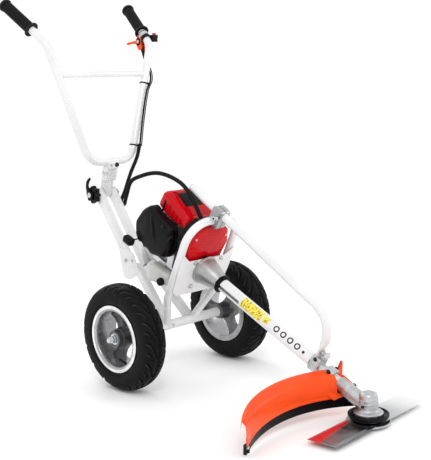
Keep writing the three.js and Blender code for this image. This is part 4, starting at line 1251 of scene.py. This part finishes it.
def shaft_clamps():
    shape = Shape(DRIVE)
    clamp_block(shape, 438, 466, 18.3, 25.2)
    for x in (-1, 1):
        shape.bolt((x * 19, 20, 452), (x, 0, 0), 4.2, 4, paint=1)
    piece("stay_clamp_block", shape, "shaft_clamp", paints=[BRIGHT_ALLOY, BOLT_BLACK], soft=1.0)
    shape = Shape(DRIVE)
    clamp_block(shape, 486, 512, 14.8, 19.4)
    shape.bolt((-15.5, 15, 499), (-1, 0, 0), 4.2, 4, paint=1)
    shape.bolt((15.5, 15, 499), (1, 0, 0), 4.2, 4, paint=1)
    piece("guard_clamp_block", shape, "guard_bracket", paints=[BRIGHT_ALLOY, BOLT_BLACK], soft=1.0)


def shaft_at(distance):
    """A point on the drive tube's axis, at a distance from where it meets the blade's axis."""
    back = -FORWARD
    return Vector((0, back.y * distance, APEX_Z + back.z * distance))


def gear_head():
    """The cast bevel-gear case: a ringed, domed column and the split collar that grips the drive tube."""
    column = [
        (0, 26.2), (35.4, 26.2), (36.8, 27.6), (36.8, 32), (34, 34.4), (29, 36), (25.6, 38.6), (24.2, 41)
    ]
    for z in (46, 55, 64):
        column += [(23.8, z - 1.6), (24.8, z - 1.1), (24.8, z + 1.1), (23.6, z + 1.6)]
    column += [(23.2, 73), (22.2, 77), (20, 80), (15, 82.6), (9, 83.8), (0, 84.2)]
    shape = Shape(GROUND)
    shape.lathe(column, sides=96)
    back = -FORWARD
    collar = [(0, 6), (19.6, 6), (19.6, 44)]
    for at in (48, 56, 64):
        collar += [(19.4, at - 1.4), (20.2, at - 1), (20.2, at + 1), (19.4, at + 1.4)]
    collar += [(19.6, 71), (18.2, 73), (18.2, 96.6), (17.4, 97.8), (13.5, 97.8), (13.5, 80), (0, 80)]
    shape.lathe(collar, shaft_at(0), back, 72)
    lift = back.cross(X_AXIS)
    neck_bolt = shaft_at(66) + X_AXIS * 15 - lift * 11
    shape.bolt(neck_bolt, X_AXIS - lift * 0.6, 4.6, 4, paint=1, kind="socket")
    shape.bolt(Vector((22.6, -6, 56)), (1, -0.3, 0), 4.6, 4, paint=1)
    shape.bolt(Vector((-23.6, 0, 50)), (-1, 0, 0), 3.2, 2.6, paint=1, kind="socket")
    piece("gear_case_cast", shape, "gear_case", paints=[BRIGHT_ALLOY, BOLT_BLACK], soft=0.7)


BLADE_BOTTOM = 11.8
BLADE_THICK = 2.4
BLADE_YAW = math.radians(3.2)
BLADE_HALF = (200, 41.5)


def cutter():
    """The plain two-ended blade, its black cup above and the steel skid bowl below."""
    length, width = BLADE_HALF
    shape = Shape(GROUND @ Matrix.Rotation(BLADE_YAW, 4, "Z"))
    low, high = BLADE_BOTTOM, BLADE_BOTTOM + BLADE_THICK
    grind = 9
    section = [
        (-width, low), (-width, low + 0.5), (-width + grind, high), (width - grind, high),
        (width, low + 0.5), (width, low)
    ]
    half = [[(side * length, y, z) for y, z in section] for side in (-1, 1)]
    shape.skin(half)
    piece("blade_ground", shape, "blade", paints=[BLADE_STEEL], angle=8)
    top = high + 0.3
    cup = [
        (6.4, top), (35, top), (42, 17), (49, 20), (50.6, 22.4), (51, 24.5), (51, 28.6), (50, 30.2),
        (48, 30.4), (46.4, 29.4), (45.4, 27), (41.5, 25.4), (15, 25.4), (6.4, 25.4)
    ]
    shape = Shape(GROUND)
    shape.lathe(cup, sides=96)
    shape.lathe([(43, 17), (47.4, 18.8), (48.2, 19.9), (47, 20.4), (42.4, 18.2)], sides=96, paint=1)
    piece("blade_cup", shape, "blade_flange", paints=[BLACK, BRIGHT_ALLOY], soft=0.5)
    under = BLADE_BOTTOM - 0.3
    bowl = [
        (0, 0), (36, 0), (44, 1.2), (50, 3.5), (54, 7), (55, 9.5), (55, under), (52.5, under), (48.5, 5.8),
        (36, 2.2), (20, 2.2), (20, under), (11, under), (11, 2.2), (0, 2.2)
    ]
    shape = Shape(GROUND)
    shape.lathe(bowl, sides=96)
    piece("skid_bowl_spun", shape, "skid_bowl", paints=[BRIGHT_ALLOY], soft=0.4)


# ---------------------------------------------------------------- guard

GUARD_R = 330
GUARD_CENTRE = (-180, -886)
GUARD_FROM = 28
SHELL_FROM = -16.2
GUARD_TO = -352
ROOF_LOSS = 0.75  # share of the roof's reach that is gone at the far end
GUARD_WALL = 3


def guard_path(start, end, steps):
    """The line along the foot of the guard's front wall: an arc in plan that drops towards its far end."""
    points = []
    for k in range(steps + 1):
        x = start + (end - start) * k / steps
        t = (GUARD_FROM - x) / (GUARD_FROM - GUARD_TO)
        y = GUARD_CENTRE[1] + math.sqrt(GUARD_R ** 2 - (x - GUARD_CENTRE[0]) ** 2)
        points.append(Vector((x, y, 59 - 6 * t - 18 * t * t)))
    return points


def roof_reach(back, x):
    """How far back a point of the guard's section is at some X, drawn in towards the far end."""
    t = (GUARD_FROM - x) / (GUARD_FROM - GUARD_TO)
    return back - max(0.0, back - GUARD_WALL) * ROOF_LOSS * t * t


def level_sweep(shape, outline, path, paint=0):
    """Pushes an outline of (back, up) points along a path, keeping it upright."""
    rings = []
    for i, point in enumerate(path):
        tangent = (path[min(i + 1, len(path) - 1)] - path[max(i - 1, 0)]).normalized()
        side = Z_AXIS.cross(tangent).normalized()
        up = tangent.cross(side)
        rings.append([point - side * roof_reach(back, point.x) + up * rise for back, rise in outline])
    shape.skin(rings, paint)


def guard():
    """The orange wing with its rolled rim and rear ridge, and the ear that bolts it under the tube."""
    shell = [
        (0, 26), (0.6, 44), (1.5, 58), (3.2, 66), (6, 72), (10, 76), (15, 79), (28, 82.6), (38, 85.6),
        (44, 87.4), (48.6, 87), (52, 83.4), (54.4, 76), (56, 68), (53, 68), (51.2, 76), (49, 81),
        (46.4, 83.4), (43, 83.8), (28, 79), (16, 75.6), (12, 73.4), (9, 70), (6, 64), (4.5, 57), (3, 26)
    ]
    shape = Shape(CHASSIS)
    level_sweep(shape, shell, guard_path(SHELL_FROM, GUARD_TO, 72))
    ridge = [(20, 79.6), (21.5, 82.8), (24.5, 83.6), (27, 81.6)]
    level_sweep(shape, ridge, guard_path(SHELL_FROM - 6, GUARD_TO + 5, 60))
    lip = [(-1.2, 26), (-1.2, 30), (0.4, 31.5), (3, 31), (3, 26)]
    level_sweep(shape, lip, guard_path(SHELL_FROM, GUARD_TO, 60))
    ear = [(-550, 110), (-606, 86), (-609, 89), (-606, 92.5), (-552, 115.5)]
    shape.slab(ear, -40, 61.5)
    for x in (-36, 56):
        shape.slab([(-553, 114), (-606, 91.5), (-606, 95), (-560, 118)], x, x + 3)
    crest = rounded([(20, 108), (20, 128), (34, 124), (46, 140), (58, 156), (64, 150), (64, 108)], 5)
    shape.slab(crest, -553, -550, "y")
    shape.slab(inset_outline(crest, 3), -553.8, -553, "y")
    for x in (-28, -12, 30):
        shape.bolt((x, -566, 110 if x < 0 else 109.4), (0, -0.37, 0.93), 4, 3.6, paint=1)
    piece("guard_wing", shape, "guard_shell", paints=[ORANGE, BOLT_BLACK], soft=0.35, angle=30)
    skirt_outline = [(4, 0), (4.3, 22), (4.6, 40), (6, 43), (8, 44), (10.4, 42), (9.2, 30), (7, 0)]
    path = guard_path(GUARD_FROM, GUARD_TO + 4, 72)
    shape = Shape(CHASSIS)
    level_sweep(shape, skirt_outline, path)
    end = path[-1]
    tip = [(-9, 2), (-9, 25), (-4, 27), (6, 26), (6, 4), (1, 4), (1, 12), (-3, 12), (-3, 2)]
    shape.slab([(end.x + x, end.z + z) for x, z in tip], end.y + 1, end.y + 8, "y")
    shape.bolt((end.x - 1, end.y + 1, end.z + 19), (0, -1, 0), 3, 2, paint=1, kind="socket")
    piece("guard_skirt_rubbered", shape, "guard_skirt", paints=[BLACK, STEEL], soft=0.4)


# ---------------------------------------------------------------- engine


def across_engine(shape, outline, layers, paint=0):
    """Pushes a (distance, rise) outline across the engine, drawn in by its inset at each layer (x, inset)."""
    rings = [[(x, s, d) for d, s in inset_outline(outline, inset)] for x, inset in layers]
    shape.skin(rings, paint)


def engine_block():
    """Crankcase, finned cylinder and the casting flange behind the plate."""
    shape = Shape(DRIVE)
    shape.lathe(
        [(10.6, -173.6), (48, -173.6), (51.4, -170), (52, -160), (52, -61.2), (10.6, -61.2)], sides=72
    )
    nose = rounded([(-50, -48), (50, -48), (50, 48), (-50, 48)], 12)
    shape.slab(nose, -100, -61.2, "z")
    core = rounded([(-34, -152), (34, -152), (34, -72), (-34, -72)], 8)
    shape.skin([[(x, 30, d) for x, d in core], [(x, 95, d) for x, d in core]])
    for k in range(9):
        s = 49 + 5.2 * k
        fin = rounded([(-45, -160), (45, -160), (45, -66), (-45, -66)], 9)
        shape.skin([[(x, s, d) for x, d in fin], [(x, s + 1.8, d) for x, d in fin]])
    shape.rod((-51, -20, -128), (-58, -20, -128), 9, 32, paint=1)
    shape.block((-40, -56, -168), (40, -44, -110))
    for x in (-43, 43):
        for s in (-40, 40):
            shape.bolt((x, s, -100), (0, 0, -1), 4, 3.4, paint=2)
    piece("engine_casting", shape, "engine_block", paints=[MATERIALS["cast_alloy"], BLACK, STEEL], soft=0.6)


def fan_shroud():
    """The red cowl behind the plate: faceted sides, a rolled front edge, a black rear band and chin."""
    half = [(0, -56), (48, -52), (68, -20), (74, 42), (83, 76), (68, 117), (36, 138)]
    outline = rounded(half + [(-x, s) for x, s in reversed(half[1:])], 7, 5)
    shape = Shape(DRIVE)
    inner = inset_outline(outline, 5)
    layers = [
        (-60.6, 0), (-58, 0), (-57, 1.4), (-55, 1.4), (-54, 0), (-30, 0), (-24, 0.6), (-18, 3), (-14, 7),
        (-12.2, 14)
    ]
    rings = [[(x, s, d) for x, s in inset_outline(outline, inset)] for d, inset in layers]
    middle = [Vector((x, s)) for x, s in outline]
    hub = []
    for point in middle:
        way = point.normalized()
        hub.append((way.x * 38, way.y * 38, -12.2))
    rings.append(hub)
    rings.append([(x, s, -15) for x, s, d in hub])
    rings.append([(x, s, -15) for x, s in inset_outline(outline, 16)])
    rings.append([(x, s, -60.6) for x, s in inner])
    shape.skin(rings, loop=True)
    band = [(-60.4, 1), (-60.4, -0.4), (-31, -0.4), (-30.4, 1)]
    shape.skin([[(x, s, d) for x, s in inset_outline(outline, inset)] for d, inset in band], 2, loop=True)
    for x, s in ((58, 100), (-58, 100), (60, -18), (-60, -18)):
        shape.bolt((x, s, -13.6), (0, 0, 1), 3.4, 2.2, paint=1, kind="socket")
    for k in range(5):
        s = 64 + 9 * k
        shape.block((-30, s, -12.8), (30, s + 3.4, -11.6))
    shape.block((-50, -51.5, -40), (50, -46, -11.6), paint=2)
    piece("cowl_front", shape, "fan_shroud", paints=[RED, STEEL, BLACK], soft=0.6)


def top_cover():
    """The glossy red top cover, ridged along its length, with a recessed black panel."""
    profile = [(-62.5, 98), (-66, 135), (-98, 145), (-165, 167), (-184, 160), (-192, 112), (-150, 97.5)]
    side = rounded(profile, 13, 6)
    shape = Shape(DRIVE)
    layers = [
        (-60, 9), (-58.6, 5), (-56, 2.2), (-52, 0.6), (-46, 0), (46, 0), (52, 0.6), (56, 2.2), (58.6, 5),
        (60, 9)
    ]
    across_engine(shape, side, layers)
    top_a, top_b = Vector((0, 145, -98)), Vector((0, 167, -165))
    along = (top_b - top_a).normalized()
    lift = along.cross(X_AXIS).normalized()
    if lift.y < 0:
        lift = -lift
    turn = Matrix.Translation(top_a.lerp(top_b, 0.5)) @ Matrix((X_AXIS, along, lift)).transposed().to_4x4()
    for x in (-50, -40, 40, 50):
        shape.block((x - 1.8, -27, -2), (x + 1.8, 27, 1.4), turn=turn)
    shape.block((-33, -25, -2), (33, 25, 0.9), paint=1, turn=turn)
    shape.block((-27, -19, 0.5), (27, 19, 1.8), paint=1, turn=turn)
    for k in range(4):
        shape.block((-21, -13 + 8 * k, 1.4), (21, -10 + 8 * k, 2.5), paint=1, turn=turn)
    for x in (-1, 1):
        for k in range(5):
            d = -92 - 17 * k
            grille = rounded([(d, 106), (d - 9, 107), (d - 9, 126 + 4 * k), (d, 124 + 4 * k)], 3)
            # the last slot on each side is black: painted shade standing in for the dark inside of a vent hole
            across_engine(shape, grille, [(x * 58, 0), (x * 60.4, 0)], paint=1 if k == 4 else 0)
    piece("cowl_top", shape, "top_cover", paints=[RED, BLACK], soft=1.0, angle=28)


def air_cleaner():
    """The big rounded black air-cleaner cover with its rolled upright ridge and scalloped foot."""
    outline = [
        (-75, 4), (-66, 40), (-84, 96), (-150, 106), (-186, 118), (-208, 92), (-224, 44), (-208, 6),
        (-190, -8), (-176, -4), (-164, -13), (-148, -8), (-130, -16), (-104, -7)
    ]
    side = rounded(outline, 12, 5)
    shape = Shape(DRIVE)
    layers = [
        (-62.4, 0.8), (-66, 0), (-70, 0), (-71, 1.6), (-73, 1.6), (-74, 0), (-88, 0.4), (-93, 1.8),
        (-97, 4.4), (-99.2, 8), (-100, 12)
    ]
    across_engine(shape, side, layers)
    ridge = smooth_line(
        [(-94, 104, -166), (-98.6, 92, -160), (-99.6, 66, -146), (-99, 44, -132), (-96, 30, -124)], 40
    )
    shape.tube(ridge, 4.6, 24)
    for s, d in ((18, -196), (92, -110)):
        shape.lathe([(0, 0), (7, 0), (7, 1.6), (5.6, 2.4), (0, 2.4)], (-99.6, s, d), (-1, 0, 0), 28)
    piece("air_cleaner_cover", shape, "air_cleaner", soft=0.6, angle=30)
    lever = [(-78, 62), (-70, 62), (-60, 86), (-66, 90)]
    shape = Shape(DRIVE)
    across_engine(shape, rounded(lever, 3), [(-107.6, 0.8), (-107, 0), (-101, 0), (-100.5, 0.6)])
    piece("choke_lever_tab", shape, "choke_lever", soft=0.3)


def fuel_tank():
    outline = [(-66, -57.4), (-66, -92), (-76, -98), (-140, -122), (-150, -116), (-150, -57.4)]
    side = rounded(outline, 12, 6)
    shape = Shape(DRIVE)
    layers = [
        (-60, 9), (-58.5, 5), (-55, 2), (-50, 0.4), (-2.4, 0), (-1.6, -1.2), (1.6, -1.2), (2.4, 0),
        (50, 0.4), (55, 2), (58.5, 5), (60, 9)
    ]
    across_engine(shape, side, layers)
    piece("fuel_tank_moulded", shape, "fuel_tank", angle=40)
    shape = Shape(DRIVE)
    start = Vector((-60.4, -88, -86))
    sides = 96
    rings = [[start + Vector((-0.2, 0, 0))]]
    for height, grow in ((0.2, -3), (0.2, 0), (2, 0.4), (10, 0), (12.2, -1.4), (12.9, -3.6)):
        ring = []
        for k in range(sides):
            a = 2 * math.pi * k / sides
            r = 11.4 + grow + (0.5 * math.cos(20 * a) if -1 < grow < 0.5 else 0)
            ring.append(start + Vector((-height, r * math.cos(a), r * math.sin(a))))
        rings.append(ring)
    rings.append([start + Vector((-12, 0, 0))])
    shape.skin(rings)
    piece("fuel_cap_knurled", shape, "fuel_cap", angle=45)


def recoil_starter():
    """The round starter cover: radial vents, three screws, and the lug that the pull cord leaves."""
    shape = Shape(DRIVE)
    dish = [
        (0, -236), (18, -236), (20, -234.4), (42, -234.4), (46, -235.8), (52, -232), (57, -226),
        (60.4, -206), (60.5, -176), (59, -174.6), (55, -174.6), (55, -190), (42, -226), (0, -226)
    ]
    shape.lathe(dish, sides=96)
    for k in range(18):
        a = 2 * math.pi * k / 18
        turn = Matrix.Rotation(a, 4, "Z")
        shape.block((24, -1.8, -236.8), (40, 1.8, -233.6), turn=turn)
    for k in range(3):
        a = math.radians(90 + 120 * k)
        shape.bolt(
            (50 * math.cos(a), 50 * math.sin(a), -231), (0.4 * math.cos(a), 0.4 * math.sin(a), -1), 3.4,
            2.6, paint=1, kind="socket"
        )
    shape.lathe([(5.6, 0), (9, 0), (10.5, 8), (5.6, 8)], (-66, -18, -214), (1, 0, 0), 32)
    piece("starter_cover", shape, "recoil_housing", paints=[BLACK, STEEL], soft=0.6)
    shape = Shape(DRIVE)
    shape.lathe([(0, 61.5), (2, 61.5), (2, 99), (6, 100), (6, 101), (0, 101)], (0, -18, -214), (-1, 0, 0), 24)
    bar = rounded([(-29, -232), (-5, -232), (-5, -196), (-29, -196)], 9)
    rings = [[(x, s, d) for s, d in inset_outline(bar, inset)]
             for x, inset in ((-120, 5), (-118, 1.6), (-114, 0), (-104, 0), (-99, 2.4))]
    shape.skin(rings)
    piece("starter_handle", shape, "starter_grip", soft=0.5)


def muffler():
    outline = [(62, 15), (96, 15), (100, 20), (100, 82), (94, 88), (62, 88)]
    side = rounded(outline, 6, 4)
    shape = Shape(DRIVE)
    layers = [
        (-158, 4), (-156, 1), (-153, 0), (-117, 0), (-116, -1.4), (-114, -1.4), (-113, 0), (-77, 0),
        (-74, 1), (-72, 4)
    ]
    rings = [[(x, s, d) for x, s in inset_outline(side, inset)] for d, inset in layers]
    shape.skin(rings)
    for k in range(6):
        s = 26 + 10 * k
        shape.block((98.5, s, -150), (101.6, s + 3.5, -122))
        shape.block((98.5, s, -108), (101.6, s + 3.5, -80))
    shape.rod((82, 14, -100), (82, 4, -100), 7, 28)
    for s in (26, 78):
        shape.bolt((100, s, -115), (1, 0, 0), 3.6, 3, paint=1)
    piece("muffler_box", shape, "muffler", paints=[MATERIALS["heat_shield"], STEEL], soft=0.6)


def plug_lead():
    """The spark plug's rubber boot and lead, from under the top cover to the coil."""
    shape = Shape(DRIVE)
    line = smooth_line([(52, 84, -166), (56, 70, -172), (58, 40, -174), (50, 10, -172)], 30)
    shape.tube(line, 3.2, 16)
    shape.lathe([(0, 0), (7, 0), (7.4, 10), (5, 20), (0, 20)], (50, 92, -164), (0.1, -0.6, -0.3), 28)
    piece("plug_boot", shape, body="chassis", slot="black_rubber", soft=0.3)


# ---------------------------------------------------------------- the machine

make_camera()
make_studio()
for wheel_side, wheel_label in ((-1, "right"), (1, "left")):
    tyre(wheel_side, wheel_label)
    rim(wheel_side, wheel_label)
axle()
front_hoop()
engine_plate()
rear_frame()
handlebar()
handle_stem()
fold_pivot()
support_tube()
top_clamp()
grips()
throttle()
stop_switch()
cables()
clutch_bell()
sleeve()
drive_tube()
shaft_clamps()
gear_head()
cutter()
guard()
engine_block()
fan_shroud()
top_cover()
air_cleaner()
fuel_tank()
recoil_starter()
muffler()
plug_lead()
